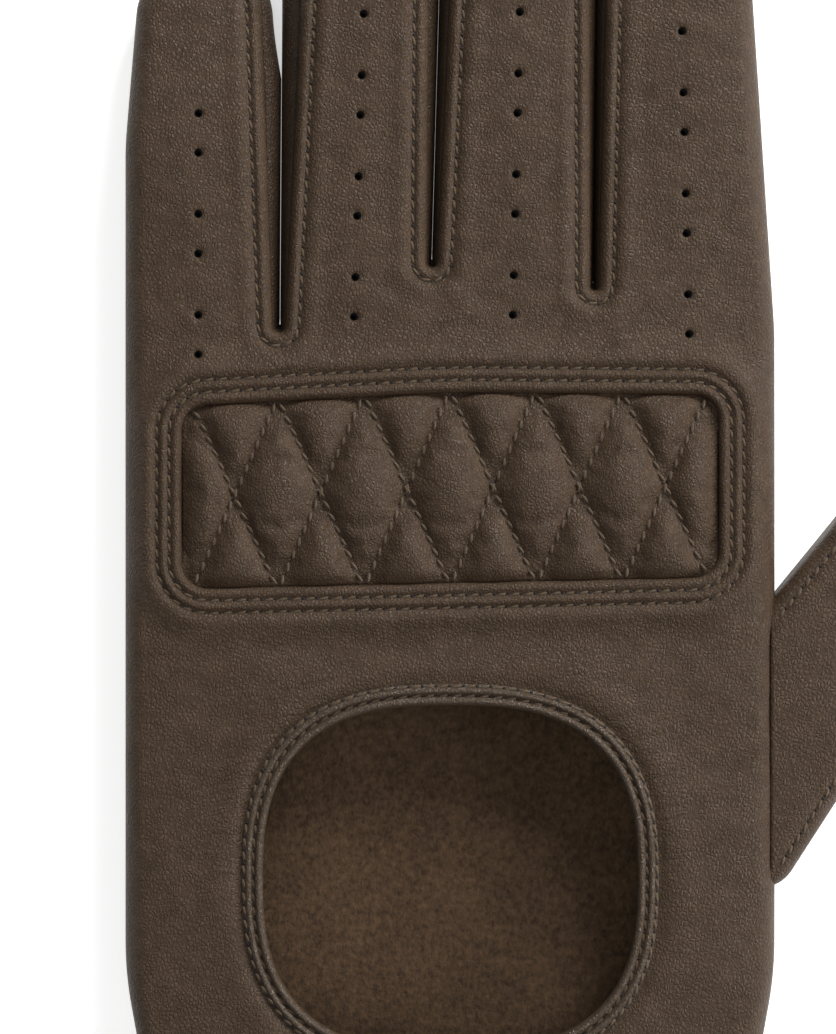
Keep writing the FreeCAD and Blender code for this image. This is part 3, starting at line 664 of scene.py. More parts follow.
def shared_out(bm, name, materials, nodes):
    """Cuts a skin or seam where its fingers start to bend: one piece rides on the hand, and there is one for
    each finger from the cut to its tip."""
    layer = bm.verts.layers.int.get("finger")

    def tag(face, ahead=Vector()):
        number = max(vert[layer] for vert in face.verts) - 1 if layer else None
        return digit_of(face.calc_center_median() + ahead, number)

    for number, finger in enumerate(FINGERS):
        faces = [f for f in bm.faces if tag(f, finger["along"] * 2 * mm) == number]
        parts = {v for f in faces for v in f.verts} | {e for f in faces for e in f.edges}
        bmesh.ops.bisect_plane(bm, geom=[*faces, *parts], dist=1e-7, plane_no=finger["along"],
                               plane_co=finger["hinge"] - finger["along"] * BEND_REACH)
    tags = [tag(face) for face in bm.faces]
    for number in range(-1, len(FINGERS)):
        owner = "hand" if number < 0 else FINGERS[number]["name"]
        mine = [node for node in nodes if (owner if number >= 0 else "") + "_tip_" in node]
        if number < 0:
            mine = [node for node in nodes if "_tip_" not in node]
        part = bm.copy()
        others = [f for f, tag in zip(part.faces, tags) if tag != number]
        bmesh.ops.delete(part, geom=others, context="FACES")
        bmesh.ops.delete(part, geom=[v for v in part.verts if not v.link_faces], context="VERTS")
        piece = as_piece(part, f"{owner}_{name}", materials, mine)
        if number < 0:
            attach(piece, "hand")
        else:
            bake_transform(piece)
    bm.free()


LEATHER_BROWN = rgb(0.065, 0.0405, 0.0245)
LEATHER_DARK = rgb(0.034, 0.0205, 0.0115)
SUEDE_BROWN = rgb(0.088, 0.053, 0.029)
SUEDE_DARK = rgb(0.032, 0.019, 0.011)


def nappa(name, light, dark, grain=0.55 * mm, crease=1.0, roughness=0.50, gloss=0.20):
    """Smooth-finished lamb leather: fine uneven grain, soft creases, and a low sheen that varies."""
    finish = Finish(name, Specular_IOR_Level=gloss)
    drift = finish.node("ShaderNodeTexNoise", {}, {"Vector": finish.at, "Scale": 260.0}, "Color")
    warp = finish.node("ShaderNodeMix", {"data_type": "VECTOR"}, {0: 0.0006, 4: finish.at, 5: drift}, 1)
    pores = finish.cells(grain, "DISTANCE_TO_EDGE", finish.stretched(warp, (1.0, 0.72, 1.0), (0, 0, 0.5)))
    pebble = (pores * 3.2).capped()
    fine = finish.clouds(0.24 * mm, 3.0)
    wrinkles = finish.clouds(0.8 * mm, 3.0, finish.stretched(warp, (0.35, 1.0, 1.0), (0, 0, -0.2)))
    folds = finish.clouds(1.1 * mm, 2.0, finish.stretched(warp, (0.16, 1.0, 1.0), (0, 0, -0.28)))
    creased = finish.node("ShaderNodeAttribute", {"attribute_name": "creased"}, {}, "Fac")
    patches = finish.clouds(9 * mm, 2.0)
    worn = ((patches - 0.38) * 3.0).capped()
    height = pebble * 0.55 + fine * 0.4 + wrinkles * worn * (1.1 * crease) + folds * creased * 2.6
    normal = finish.bumped(height, 0.25 * mm, 0.72)
    mottle = finish.clouds(2.6 * mm, 5.0, roughness=0.65)
    shade = ((mottle - 0.5) * 1.5 + pebble * 0.4 + fine * 0.5 + 0.06).capped()
    finish.set_shader(Base_Color=finish.between(shade, dark, light), Normal=normal,
                      Roughness=roughness + (patches - 0.5) * 0.2 - pebble * 0.08)
    return finish


def suede(name, light, dark):
    """The flesh side of the same leather: short fibres, mottled, with no shine."""
    finish = Finish(name, Specular_IOR_Level=0.1)
    blotches = finish.clouds(7.0 * mm, 6.0, roughness=0.6)
    fibres = finish.clouds(0.5 * mm, 5.0, finish.stretched(finish.at, (1.0, 0.6, 1.0)), 0.7)
    tufts = finish.clouds(1.3 * mm, 3.0)
    shade = ((blotches - 0.5) * 0.9 + (fibres - 0.5) * 2.2 + (tufts - 0.5) * 1.6 + 0.5).capped()
    normal = finish.bumped(fibres * 0.8 + tufts * 0.7, 0.45 * mm, 0.8)
    finish.set_shader(Base_Color=finish.between(shade, dark, light), Roughness=0.93 + (fibres - 0.5) * 0.08,
                      Normal=normal)
    finish.shader.inputs["Sheen Weight"].default_value = 0.08
    return finish


back_leather = nappa("back_nappa", LEATHER_BROWN, LEATHER_DARK)
flesh_side = suede("leather_flesh_side", SUEDE_BROWN, SUEDE_DARK)

back = bmesh.new()
banded(back, back_path, [(ring * mm, 0) for ring in RINGS], EDGE)
window_rings = (0, 0.2, 0.5, 0.9, 1.4, 1.75, 2.0, 2.25, 2.6, 3.0, 3.4, 3.75, 4.0, 4.3)
banded(back, window_path, [(-ring * mm, 0) for ring in window_rings], WINDOW)
for finger in FINGERS:
    for x, y in hole_places(finger):
        turns = -np.linspace(0, 2 * math.pi, 14, endpoint=False)
        ring = np.stack((x + HOLE_RADIUS * np.cos(turns), y + HOLE_RADIUS * np.sin(turns)), 1)
        banded(back, ring, [(0, 0), (-0.14 * mm, 0), (-0.42 * mm, 0)], HOLE)
filled_in(back, (EDGE, WINDOW, HOLE), CELL)
face_up(back)
points = flat_points(back)
hole_middles = np.array([place for finger in FINGERS for place in hole_places(finger)])
from_hole = np.min([np.linalg.norm(points - middle, axis=1) for middle in hole_middles], axis=0)
creased = back.verts.layers.float.new("creased")
for vert, share in zip(back.verts, crease_share(points)):
    vert[creased] = share
set_heights(back, back_height(points) - 0.22 * mm * bell(from_hole - HOLE_RADIUS, 0.3 * mm))
add_walls(back, 1)
rim = open_edges(back)
middles = np.array([(e.verts[0].co + e.verts[1].co)[:2] for e in rim]) / 2
window_rim = [e for e, d in zip(rim, nearest(middles, window_path)[0]) if d < 0.02 * mm]
skirt = bmesh.ops.extrude_edge_only(back, edges=window_rim)["geom"]
bmesh.ops.translate(back, vec=(0, 0, -SKIRT), verts=picked(skirt, BMVert))
from_holes = np.linalg.norm(middles[:, None] - hole_middles[None], axis=2)
punched = [e for e, d in zip(rim, from_holes.min(1)) if d < HOLE_RADIUS]
for drop, narrowing in PUNCHED_EDGE:
    grown = bmesh.ops.extrude_edge_only(back, edges=punched)["geom"]
    punched = picked(grown, BMEdge)
    for face in picked(grown, BMFace):
        face.material_index = 2
    for vert in picked(grown, BMVert):
        middle = hole_middles[np.linalg.norm(hole_middles - vert.co[:2], axis=1).argmin()]
        vert.co = (*(middle + (np.array(vert.co[:2]) - middle) * narrowing), vert.co.z - drop)
outside_out(back)
thickened(back, LEATHER)
tips = [finger["name"] + "_tip_" for finger in FINGERS]
punched_edge = Finish("punched_edge", Base_Color=rgb(0.010, 0.007, 0.005), Roughness=0.95)
shared_out(back, "back_leather", [back_leather.material, flesh_side.material, punched_edge.material],
           ["hand_back"] + [tip + "back" for tip in tips])


# ---- Palm skin
# The palm side is cut from the same leather to the outline of the back, lies flat on the table, and turns up
# into the side seams and the finger slits. Its flesh side is what shows through the opening.

PALM_CELL = 1.5 * mm
PALM_LIFT = 0.9 * mm


def palm_height(points):
    """Height of the palm's lower side over flat points."""
    points = np.asarray(points, float)
    edge, stretch = nearest(points, digit_edge, closed=False)
    gusset = gusset_share[stretch]
    z = PALM_LIFT * np.exp(-edge / (4 * mm))
    z += gusset * rolled(edge, SLIT_ROLL) + (1 - gusset) * rolled(edge, EDGE_ROLL)
    z += 0.25 * mm * (1 + lumps(points, 15 * mm, 4.4)) * smooth(edge, 1 * mm, 5 * mm)
    return np.maximum(z, 0.02 * mm)


palm_leather = nappa("palm_nappa", LEATHER_BROWN, LEATHER_DARK, grain=0.6 * mm)
palm = bmesh.new()
banded(palm, palm_path, [(ring * mm, 0) for ring in RINGS[::2]], EDGE)
filled_in(palm, (EDGE,), PALM_CELL)
face_up(palm, False)
set_heights(palm, palm_height(flat_points(palm)))
add_walls(palm, -1)
outside_out(palm, False)
thickened(palm, LEATHER)
shared_out(palm, "palm_leather", [palm_leather.material, flesh_side.material],
           ["hand_palm"] + [tip + "palm" for tip in tips])


# ---- Gussets in the finger slits
# Strips of the same leather are set in between back and palm along the sides of the fingers. They bulge into
# the slits, where two neighbours almost meet. Their colour is darker than the back's: painted shade of the
# deep slits.

GUSSET_ROWS = 12
GUSSET_BULGE, GAP_SHARE = 3.6 * mm, 0.5
GUSSET_INSET = 0.12 * mm
TIP_TAPER = 0.55     # share of the bulge that goes on the way to the fingertip


def slit_gaps(path, outward):
    """Clear width of the slit in front of each point of its edge."""
    across = path[None] - path[:, None]
    far = np.linalg.norm(across, axis=2)
    ahead = (across * outward[:, None]).sum(2) > 0.93 * far
    gaps = np.where(ahead & (far > 0.3 * mm), far, 1.0).min(1)
    padded = np.pad(gaps, 1, mode="edge")
    return np.min([padded[k:k + len(gaps)] for k in range(3)], axis=0)


# Painted shade: the gussets are coloured darker than the same leather on the back, for the shade deep in the
# slits.
gusset_painted_shade_leather = nappa("gusset_nappa_painted_shade", rgb(0.050, 0.031, 0.019), rgb(0.028, 0.017, 0.010))
gusset = bmesh.new()
share = gusset_share[tip_numbers[0]:tip_numbers[-1] + 1]
share = np.concatenate((share, [0] * (len(slit_edge) - len(share))))
upper = wall_foot(back_height(slit_edge), share, 1)
lower = wall_foot(palm_height(slit_edge), share, -1)
finger_of_column = np.searchsorted(crotch_numbers, np.arange(len(slit_edge)) + tip_numbers[0])
from_tip = slit_edge[:, 1] - np.array([finger["tip_y"] for finger in FINGERS])[finger_of_column]
most_bulge = GUSSET_BULGE * (1 - TIP_TAPER * smooth(from_tip, -30 * mm, -8 * mm))
outward = moved_in(slit_edge, -1.0, closed=False) - slit_edge
outward /= np.linalg.norm(outward, axis=1)[:, None]
bulge = np.minimum(GAP_SHARE * slit_gaps(slit_edge, outward), most_bulge) * share
finger_layer = gusset.verts.layers.int.new("finger")
verts = bmesh.ops.create_grid(gusset, x_segments=len(slit_edge) - 1, y_segments=GUSSET_ROWS, size=1)["verts"]
for vert in verts:
    column = round((vert.co.x + 1) / 2 * (len(slit_edge) - 1))
    turn = (vert.co.y + 1) / 2
    out = bulge[column] * math.sin(math.pi * turn) ** 0.7 - GUSSET_INSET * abs(2 * turn - 1) ** 3
    x, y = slit_edge[column] + outward[column] * out
    vert.co = (x, y, lower[column] + (upper[column] - lower[column]) * turn)
    vert[finger_layer] = 1 + int(finger_of_column[column])
bmesh.ops.dissolve_degenerate(gusset, dist=1e-6, edges=gusset.edges[:])
gusset.normal_update()
facing_out = 0
for face in (f for f in gusset.faces if abs(f.normal.x) > 0.5):
    column = np.abs(slit_edge - np.array(face.calc_center_median()[:2])).sum(1).argmin()
    facing_out += face.normal.x * outward[column][0]
if facing_out < 0:
    bmesh.ops.reverse_faces(gusset, faces=gusset.faces[:])
thickened(gusset, 0.8 * mm)
gusset_nodes = [name for name in frame["nodes"] if "gusset" in name]
shared_out(gusset, "gussets", [gusset_painted_shade_leather.material, flesh_side.material], gusset_nodes)


# ---- Topstitching along the finger slits
# One row of strong waxed thread, a lockstitch about 2 mm long, holds the turned edge down along the slits.
# Each stitch lies a little aslant and sinks in at both ends, where a flat near-black blob on the surface
# paints the shade of the needle hole.

STITCH_PITCH = 2.2 * mm
STITCH_HALF = (0.80 * mm, 0.27 * mm, 0.26 * mm)
STITCH_SLANT = 0.26
# radius of the flat dark blob that paints a needle hole's shade
NEEDLE_HOLE_SHADE = 0.35 * mm


def thread_finish(name, light, dark):
    """Twisted cotton thread with a waxed, slightly uneven surface."""
    finish = Finish(name, Specular_IOR_Level=0.3)
    twist = finish.clouds(0.20 * mm, 2.0, finish.stretched(finish.at, (1.0, 0.35, 1.0), (0, 0, 0.7)))
    soil = finish.clouds(7 * mm, 2.0)
    shade = (twist * 0.8 + soil * 0.5 - 0.15).capped()
    finish.set_shader(Base_Color=finish.between(shade, dark, light), Roughness=0.62 + (twist - 0.5) * 0.2,
                      Normal=finish.bumped(twist, 0.12 * mm, 0.6))
    finish.shader.inputs["Sheen Weight"].default_value = 0.15
    return finish


TURNED_ALONG = Matrix.Rotation(math.pi / 2, 4, "Y")


def sew(bm, path, height_of, lift=0.06 * mm):
    """Adds a row of stitches along a flat path, with a flat dark blob of painted needle-hole shade between
    each two.
    """
    places = evenly(np.asarray(path, float), STITCH_PITCH)
    middles = (places[:-1] + places[1:]) / 2
    for middle, step, z in zip(middles, np.diff(places, axis=0), height_of(middles)):
        heading = Matrix.Rotation(math.atan2(step[1], step[0]) + STITCH_SLANT, 4, "Z")
        placed = Matrix.Translation((*middle, z + lift)) @ heading @ Matrix.Diagonal((*STITCH_HALF, 1))
        bmesh.ops.create_uvsphere(bm, u_segments=8, v_segments=5, radius=1, matrix=placed @ TURNED_ALONG)
    # Painted shade: a flattened near-black sphere laid on the surface stands for each needle hole.
    before = len(bm.faces)
    for (x, y), z in zip(places[1:-1], height_of(places[1:-1])):
        size = Matrix.Diagonal((NEEDLE_HOLE_SHADE, NEEDLE_HOLE_SHADE, 0.14 * mm, 1))
        placed = Matrix.Translation((x, y, z + 0.06 * mm)) @ size
        bmesh.ops.create_icosphere(bm, subdivisions=1, radius=1, matrix=placed)
    bm.faces.ensure_lookup_table()
    for face in bm.faces[before:]:
        face.material_index = 1


thread = thread_finish("waxed_thread", rgb(0.098, 0.063, 0.033), rgb(0.036, 0.023, 0.013))
# Near-black finish for the blobs that paint the shade of the needle holes.
needle_hole_shade = Finish("needle_hole_shade", Base_Color=rgb(0.012, 0.008, 0.006), Roughness=0.9)
sewing = [thread.material, needle_hole_shade.material]
row = bmesh.new()
sew(row, moved_in(slit_edge, SLIT_SEAM, closed=False), back_height)
shared_out(row, "slit_stitches", sewing,
           [name for name in frame["nodes"] if name.startswith("slit_thread")]
           + [tip + "thread" for tip in tips])


# ---- Quilted knuckle pad
# A panel of the same leather over cotton wadding fills the window. Diagonal rows of thread quilt it into
# puffed diamonds, and two rows of stitches hold the window's turned edge down on it.

QUILT_PITCH = 13.9 * mm
PAD_COLUMNS_PER_PITCH, PAD_ROWS = 32, 32
PAD_PUFF, PAD_CROWN = 2.4 * mm, 0.6 * mm
PAD_LINE_Z = BACK_Z - 0.55 * mm
PAD_EDGE_Z = BACK_Z - 0.9 * mm
PAD_UNDER = 0.5 * mm
PUFF_REACH = 6.0 * mm
PUFF_SCALE = 20.0
CLOTH_REACH = 0.45 * mm
QUILT_THREAD_LIFT = 0.52 * mm
window_middle = (window_left + window_right) / 2


def window_span(x):
    """Lower and upper end of the window at a place across it, a little under its edge."""
    inside = moved_in(window_path, -PAD_UNDER)
    lower_edge, upper_edge = [], []
    for value in np.atleast_1d(x):
        crossing = []
        for (x0, y0), (x1, y1) in zip(inside, np.roll(inside, -1, 0)):
            if (x0 - value) * (x1 - value) <= 0 and x0 != x1:
                crossing.append(y0 + (y1 - y0) * (value - x0) / (x1 - x0))
        lower_edge.append(min(crossing))
        upper_edge.append(max(crossing))
    return np.array(lower_edge), np.array(upper_edge)


def quilt_rise(points):
    """How high the pad is at its rows of thread: lowest at the window's edge."""
    edge = nearest(points, window_path)[0]
    rim_rise = (PAD_LINE_Z - PAD_EDGE_Z) * smooth(edge, 0, 2 * mm)
    return PAD_EDGE_Z + rim_rise + PAD_CROWN * smooth(edge, 0, 9 * mm)


def dome(share):
    return 1 - (1 - min(share, 1)) ** 2


pad = bmesh.new()
half_width = (window_right - window_left) / 2 + 0.45 * PAD_UNDER
column_width = QUILT_PITCH / PAD_COLUMNS_PER_PITCH
columns = int(half_width / column_width)
quilted = pad.verts.layers.float.new("quilted")
rise = pad.verts.layers.float.new("rise")
verts = bmesh.ops.create_grid(pad, x_segments=2 * columns, y_segments=PAD_ROWS, size=1)["verts"]
column_x = window_middle + np.arange(-columns, columns + 1) * column_width
column_x[0], column_x[-1] = window_middle - half_width, window_middle + half_width
span_low, span_high = window_span(column_x)
for vert in verts:
    column, row_number = round((vert.co.x + 1) * columns), round((vert.co.y + 1) / 2 * PAD_ROWS)
    x = column_x[column]
    low, high = span_low[column], span_high[column]
    up = row_number / PAD_ROWS
    vert.co = (x, low + (high - low) * up, 0)
    across = (x - window_middle) / QUILT_PITCH
    to_rows = [abs((across + lean * (up - 0.5)) % 1.0 - 0.5) for lean in (-1, 1)]
    to_edge = min(up * (high - low), (1 - up) * (high - low), column * column_width,
                  (2 * columns - column) * column_width)
    vert[rise] = (dome(to_rows[0] * 2) * dome(to_rows[1] * 2) * dome(to_edge / PUFF_REACH)) ** 0.66
    vert[quilted] = min(min(to_rows) * QUILT_PITCH, *(abs(end) * (high - low) for end in (up, 1 - up)),
                        abs(column) * column_width, abs(2 * columns - column) * column_width)
points = flat_points(pad)
set_heights(pad, quilt_rise(points))
face_up(pad)
away = np.array([v[quilted] for v in pad.verts])
pinned = away < 0.3 * column_width


def puffed(bm, pinned, most):
    """Blows the pad's skin up between its pinned rows as cloth, worked out large, and caps its rise."""
    data = bpy.data.meshes.new("puffing")
    bm.to_mesh(data)
    data.transform(Matrix.Scale(PUFF_SCALE, 4))
    cloth_object = bpy.data.objects.new("puffing", data)
    bpy.context.scene.collection.objects.link(cloth_object)
    held = cloth_object.vertex_groups.new(name="held")
    held.add([int(k) for k in np.flatnonzero(pinned)], 1.0, "REPLACE")
    cloth = cloth_object.modifiers.new("puff", "CLOTH")
    settings = cloth.settings
    settings.quality, settings.mass = 6, 0.3
    settings.tension_stiffness = settings.compression_stiffness = 12.0
    settings.bending_stiffness = 0.35
    settings.vertex_group_mass = "held"
    settings.use_pressure, settings.uniform_pressure_force = True, 4.0
    settings.shrink_min = -0.03
    settings.effector_weights.gravity = 0
    cloth.collision_settings.use_collision = False
    for number in range(1, 21):
        bpy.context.scene.frame_set(number)
    solved = cloth_object.evaluated_get(bpy.context.evaluated_depsgraph_get()).data
    moved = np.array([v.co for v in solved.vertices]) / PUFF_SCALE - np.array([v.co for v in bm.verts])
    bpy.context.scene.frame_set(1)
    bpy.data.objects.remove(cloth_object)
    bpy.data.meshes.remove(data)
    far = np.linalg.norm(moved, axis=1)
    return moved * (most * np.tanh(far / most) / np.maximum(far, 1e-9))[:, None]


for vert in pad.verts:
    vert.co.z += PAD_PUFF * vert[rise]
for vert, step in zip(pad.verts, puffed(pad, pinned, CLOTH_REACH)):
    vert.co += Vector(step)
pad_leather = nappa("pad_nappa", LEATHER_BROWN, LEATHER_DARK, grain=0.5 * mm, crease=1.3)
thickened(pad, 0.8 * mm)
pad_cover = as_piece(pad, "knuckle_pad", [pad_leather.material, flesh_side.material],
                     ["knuckle_cover", "knuckle_wadding"])
smoother = pad_cover.modifiers.new("rounding", "SUBSURF")
smoother.levels = smoother.render_levels = 1
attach(pad_cover, "hand")


quilting = bmesh.new()
for number in range(-4, 4):
    for lean in (-1, 1):
        place = window_middle + (number + 0.5) * QUILT_PITCH
        line = []
        for up in np.linspace(0.02, 0.98, 40):
            x = place + lean * (up - 0.5) * QUILT_PITCH
            if window_left + 1.5 * mm < x < window_right - 1.5 * mm:
                (low,), (high,) = window_span(x)
                line.append((x, low + (high - low) * up))
        if len(line) > 8:
            sew(quilting, line, quilt_rise, lift=QUILT_THREAD_LIFT)
quilting_rows = as_piece(quilting, "quilting_stitches", sewing, ["quilting_thread"])
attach(quilting_rows, "hand")
for name, distance, node in (("window_seam_near", WINDOW_SEAM_NEAR, "knuckle_seam_near"),
                             ("window_seam_far", WINDOW_SEAM_FAR, "knuckle_seam_far")):
    row = bmesh.new()
    around = moved_in(window_path, -distance)
    sew(row, np.concatenate((around, around[:1])), back_height)
    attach(as_piece(row, name, sewing, [node]), "hand")

# The back of the pad is a layer of cotton, drawn in along the same rows of thread.
backing_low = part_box("knuckle_backing")[0].z
cotton = Finish("backing_cotton", Specular_IOR_Level=0.2)
warp_yarn, weft_yarn = (cotton.node("ShaderNodeTexWave", {"bands_direction": direction},
                                    {"Vector": cotton.at, "Scale": 700.0}, "Fac") for direction in "XY")
weave = warp_yarn * 0.5 + weft_yarn * 0.5
cotton.set_shader(Base_Color=cotton.between(weave, rgb(0.02, 0.017, 0.014), rgb(0.06, 0.05, 0.04)),
                  Roughness=0.95, Normal=cotton.bumped(weave, 0.1 * mm, 0.6))
backing = bmesh.new()
banded(backing, moved_in(window_path, -5.0 * mm), [(0, 0), (0.8 * mm, 0), (2.0 * mm, 0)], EDGE)
filled_in(backing, (EDGE,), 2.0 * mm)
face_up(backing, False)
points = flat_points(backing)
quilted_down = np.minimum(nearest(points, window_path)[0] / (4 * mm), 1)
set_heights(backing, backing_low + 0.3 * mm - 0.3 * mm * quilted_down * (1 + lumps(points, 8 * mm, 2.2)) / 2)
thickened(backing, 0.4 * mm)
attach(as_piece(backing, "pad_backing", [cotton.material] * 2, ["knuckle_backing"]), "hand")


# ---- Binding of the opening
# A strip of leather is folded over the edge of the opening and sewn down with two rows of stitches, which
# leave a rounded roll at the edge and a raised band beside it. Its section is given in millimetres.

BINDING_PROFILE = [
    (3.42, -0.55), (3.40, -0.26), (3.28, -0.06), (3.12, 0.06), (3.00, 0.08), (2.88, 0.14), (2.74, 0.40),
    (2.45, 0.64), (2.15, 0.68), (1.90, 0.52), (1.72, 0.22), (1.58, -0.02), (1.48, -0.08), (1.36, 0.0),
    (1.22, 0.32), (1.00, 0.62), (0.70, 0.76), (0.38, 0.68), (0.12, 0.40), (-0.04, 0.02),
    (-0.10, -0.40), (-0.08, -0.85), (0.06, -1.25), (0.35, -1.50), (0.80, -1.58), (1.60, -1.60),
    (2.60, -1.58), (3.20, -1.50), (3.36, -1.20), (3.42, -0.55)]
BINDING_SEAMS = {"opening_seam_near": 1.48 * mm, "opening_seam_far": 3.0 * mm}


def binding_height(points):
    """Height of the binding's upper side at flat points beside the opening."""
    upper = BINDING_PROFILE[:20]
    reach = -np.array([place for place, _ in upper]) * mm
    rise = np.array([height for _, height in upper]) * mm
    return BACK_Z + np.interp(-nearest(np.asarray(points), opening_path, closed=False)[0], reach, rise)


binding_leather = nappa("binding_nappa", rgb(0.070, 0.048, 0.031), rgb(0.040, 0.026, 0.016), grain=0.5 * mm,
                        roughness=0.38, gloss=0.34)
binding = bmesh.new()
profile = [(-place * mm, BACK_Z + height * mm) for place, height in BINDING_PROFILE]
banded(binding, opening_path, profile, closed=False)
places = np.array([v.co[:2] for v in binding.verts])
along = run_along(opening_path)[nearest(places, opening_path, closed=False)[1]]
for vert, (x, y), way in zip(binding.verts, places, along):
    vert.co.z += 0.05 * mm * noise.noise(Vector((x, y, 3.0)) / (2.4 * mm)) * (vert.co.z > BACK_Z)
    vert.co.z += 0.06 * mm * math.sin(2 * math.pi * way / STITCH_PITCH) * (vert.co.z > BACK_Z)
bmesh.ops.holes_fill(binding, edges=open_edges(binding))
outside_out(binding)
bmesh.ops.recalc_face_normals(binding, faces=binding.faces[:])
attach(as_piece(binding, "opening_binding_roll", [binding_leather.material],
                 ["opening_binding"]), "hand")
for node, distance in BINDING_SEAMS.items():
    row = bmesh.new()
    sew(row, moved_in(opening_path, -distance, closed=False)[2:-2], binding_height, lift=0.12 * mm)
    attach(as_piece(row, node + "_stitches", sewing, [node]), "hand")


# ---- Wrist hem and facing
# The wrist edge is faced inside with a strip of leather, and a row of stitches 6 mm above the edge holds it.
# The strip runs round inside from one side of the neck to the other.

FACING_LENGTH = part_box("wrist_facing")[1].y - WRIST_Y
facing_half = WRIST_HALF - 1.3 * mm
turn_radius = 4.2 * mm
facing_high, facing_low = BACK_Z - LEATHER - 0.9 * mm, LEATHER + 0.9 * mm
turn_middle = (facing_high + facing_low) / 2
turn_height = (facing_high - facing_low) / 2
quarter = np.linspace(math.pi / 2, -math.pi / 2, 16)
end_turn = np.stack((facing_half - turn_radius + turn_radius * np.cos(quarter),
                     turn_middle + turn_height * np.sin(quarter)), 1)
beside_neck = NECK_HALF + BINDING_WIDTH + 0.3 * mm
section = np.concatenate(([(beside_neck, facing_high)], end_turn, end_turn[::-1] * (-1, 1),
                          [(-beside_neck, facing_high)]))
section = evenly(section, 0.8 * mm)
facing = bmesh.new()
verts = bmesh.ops.create_grid(facing, x_segments=len(section) - 1, y_segments=8, size=1)["verts"]
for vert in verts:
    x, z = section[round((vert.co.x + 1) / 2 * (len(section) - 1))]
    length = (vert.co.y + 1) / 2
    vert.co = (x, WRIST_Y + 0.15 * mm + length * (FACING_LENGTH - 0.3 * mm), z)
facing.normal_update()
if sum(f.normal.z * (f.calc_center_median().z - turn_middle) for f in facing.faces) > 0:
    bmesh.ops.reverse_faces(facing, faces=facing.faces[:])
thickened(facing, -0.7 * mm)
facing_leather = nappa("facing_nappa", rgb(0.058, 0.037, 0.023), rgb(0.034, 0.021, 0.012), grain=0.6 * mm)
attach(as_piece(facing, "wrist_facing_strip", [facing_leather.material] * 2,
                 ["wrist_facing"]), "hand")
hem_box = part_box("hem_thread")
hem_y = (hem_box[0].y + hem_box[1].y) / 2
hem = bmesh.new()
for first, last in ((hem_box[0].x, -NECK_HALF - BINDING_WIDTH - 0.4 * mm),
                    (NECK_HALF + BINDING_WIDTH + 0.4 * mm, hem_box[1].x)):
    sew(hem, np.array([(first, hem_y), (last, hem_y)]), back_height)
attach(as_piece(hem, "hem_stitches", sewing, ["hem_thread"]), "hand")


# ---- Thumb
# The thumb is cut in two halves, a back and a palm piece of the same leather, and let into the side of the
# hand at an angle. A seam runs all round it, with a row of topstitching on its back.

THUMB_ROOT = np.array((40.75, -16.0)) * mm
THUMB_TURN = math.radians(36)
THUMB_LENGTH, THUMB_START = 88.0 * mm, -2.0 * mm
THUMB_WIDTH, THUMB_TIP_WIDTH = 31.0 * mm, 21.0 * mm
THUMB_SEAM, THUMB_ROLL = 2.4 * mm, 2.6 * mm
ROOT_ROUND = 6.0 * mm
thumb_along = Vector((math.sin(THUMB_TURN), math.cos(THUMB_TURN), 0))
thumb_across = Vector((math.cos(THUMB_TURN), -math.sin(THUMB_TURN), 0))
THUMB_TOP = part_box("thumb_tip_back")[1].z
half, tip_half = THUMB_WIDTH / 2, THUMB_TIP_WIDTH / 2
tip_round = tip_half - TIP_FLAT
flat_thumb = rounded_path([(-half, THUMB_START, ROOT_ROUND), (-tip_half, THUMB_LENGTH, tip_round),
                           (tip_half, THUMB_LENGTH, tip_round), (half, THUMB_START, ROOT_ROUND)], PATH_STEP)


def at_thumb(points):
    """Places on the thumb from places across and along it."""
    points = np.asarray(points)
    turn = np.array((thumb_across[:2], thumb_along[:2]))
    return THUMB_ROOT + points @ turn


thumb_path = at_thumb(flat_thumb)


def thumb_height(points):
    """Height of the thumb's back over flat points. Its palm side is the same shape turned over."""
    points = np.asarray(points, float)
    edge = nearest(points, thumb_path)[0]
    z = THUMB_TOP - 0.5 * mm + 0.6 * mm * (1 - np.exp(-edge / (4 * mm))) - rolled(edge, THUMB_ROLL)
    z -= 0.28 * mm * bell(edge - THUMB_SEAM, 0.42 * mm)
    z += 0.16 * mm * bell(edge - 3.9 * mm, 1.1 * mm)
    z += smooth(edge, 1 * mm, 5 * mm) * (0.35 * mm * lumps(points, 14 * mm, 6.6)
                                         + 0.12 * mm * lumps(points, 5 * mm, 8.2))
    return z


thumb_leather = nappa("thumb_nappa", LEATHER_BROWN, LEATHER_DARK)
thumb = bmesh.new()
banded(thumb, thumb_path, [(ring * mm, 0) for ring in RINGS], EDGE)
filled_in(thumb, (EDGE,), 1.2 * mm)
face_up(thumb)
set_heights(thumb, thumb_height(flat_points(thumb)))
mid = THUMB_TOP / 2
rim = open_edges(thumb)
for k in range(4):
    grown = bmesh.ops.extrude_edge_only(thumb, edges=rim)["geom"]
    rim = picked(grown, BMEdge)
    for vert in picked(grown, BMVert):
        vert.co.z += (mid - vert.co.z) / (4 - k)
under = bmesh.ops.duplicate(thumb, geom=thumb.verts[:] + thumb.edges[:] + thumb.faces[:])["geom"]
under_verts = picked(under, BMVert)
bmesh.ops.scale(thumb, vec=(1, 1, -1), verts=under_verts, space=Matrix.Translation((0, 0, -mid)))
bmesh.ops.remove_doubles(thumb, verts=thumb.verts[:], dist=1e-6)
bmesh.ops.recalc_face_normals(thumb, faces=thumb.faces[:])
hand_side = hand_high.x - 0.9 * mm
bmesh.ops.bisect_plane(thumb, geom=thumb.verts[:] + thumb.edges[:] + thumb.faces[:],
                       plane_co=(hand_side, 0, 0), plane_no=(1, 0, 0), clear_inner=True)
thickened(thumb, LEATHER)
thumb_nodes = ["thumb_base_back", "thumb_base_palm", "thumb_tip_back", "thumb_tip_palm"]
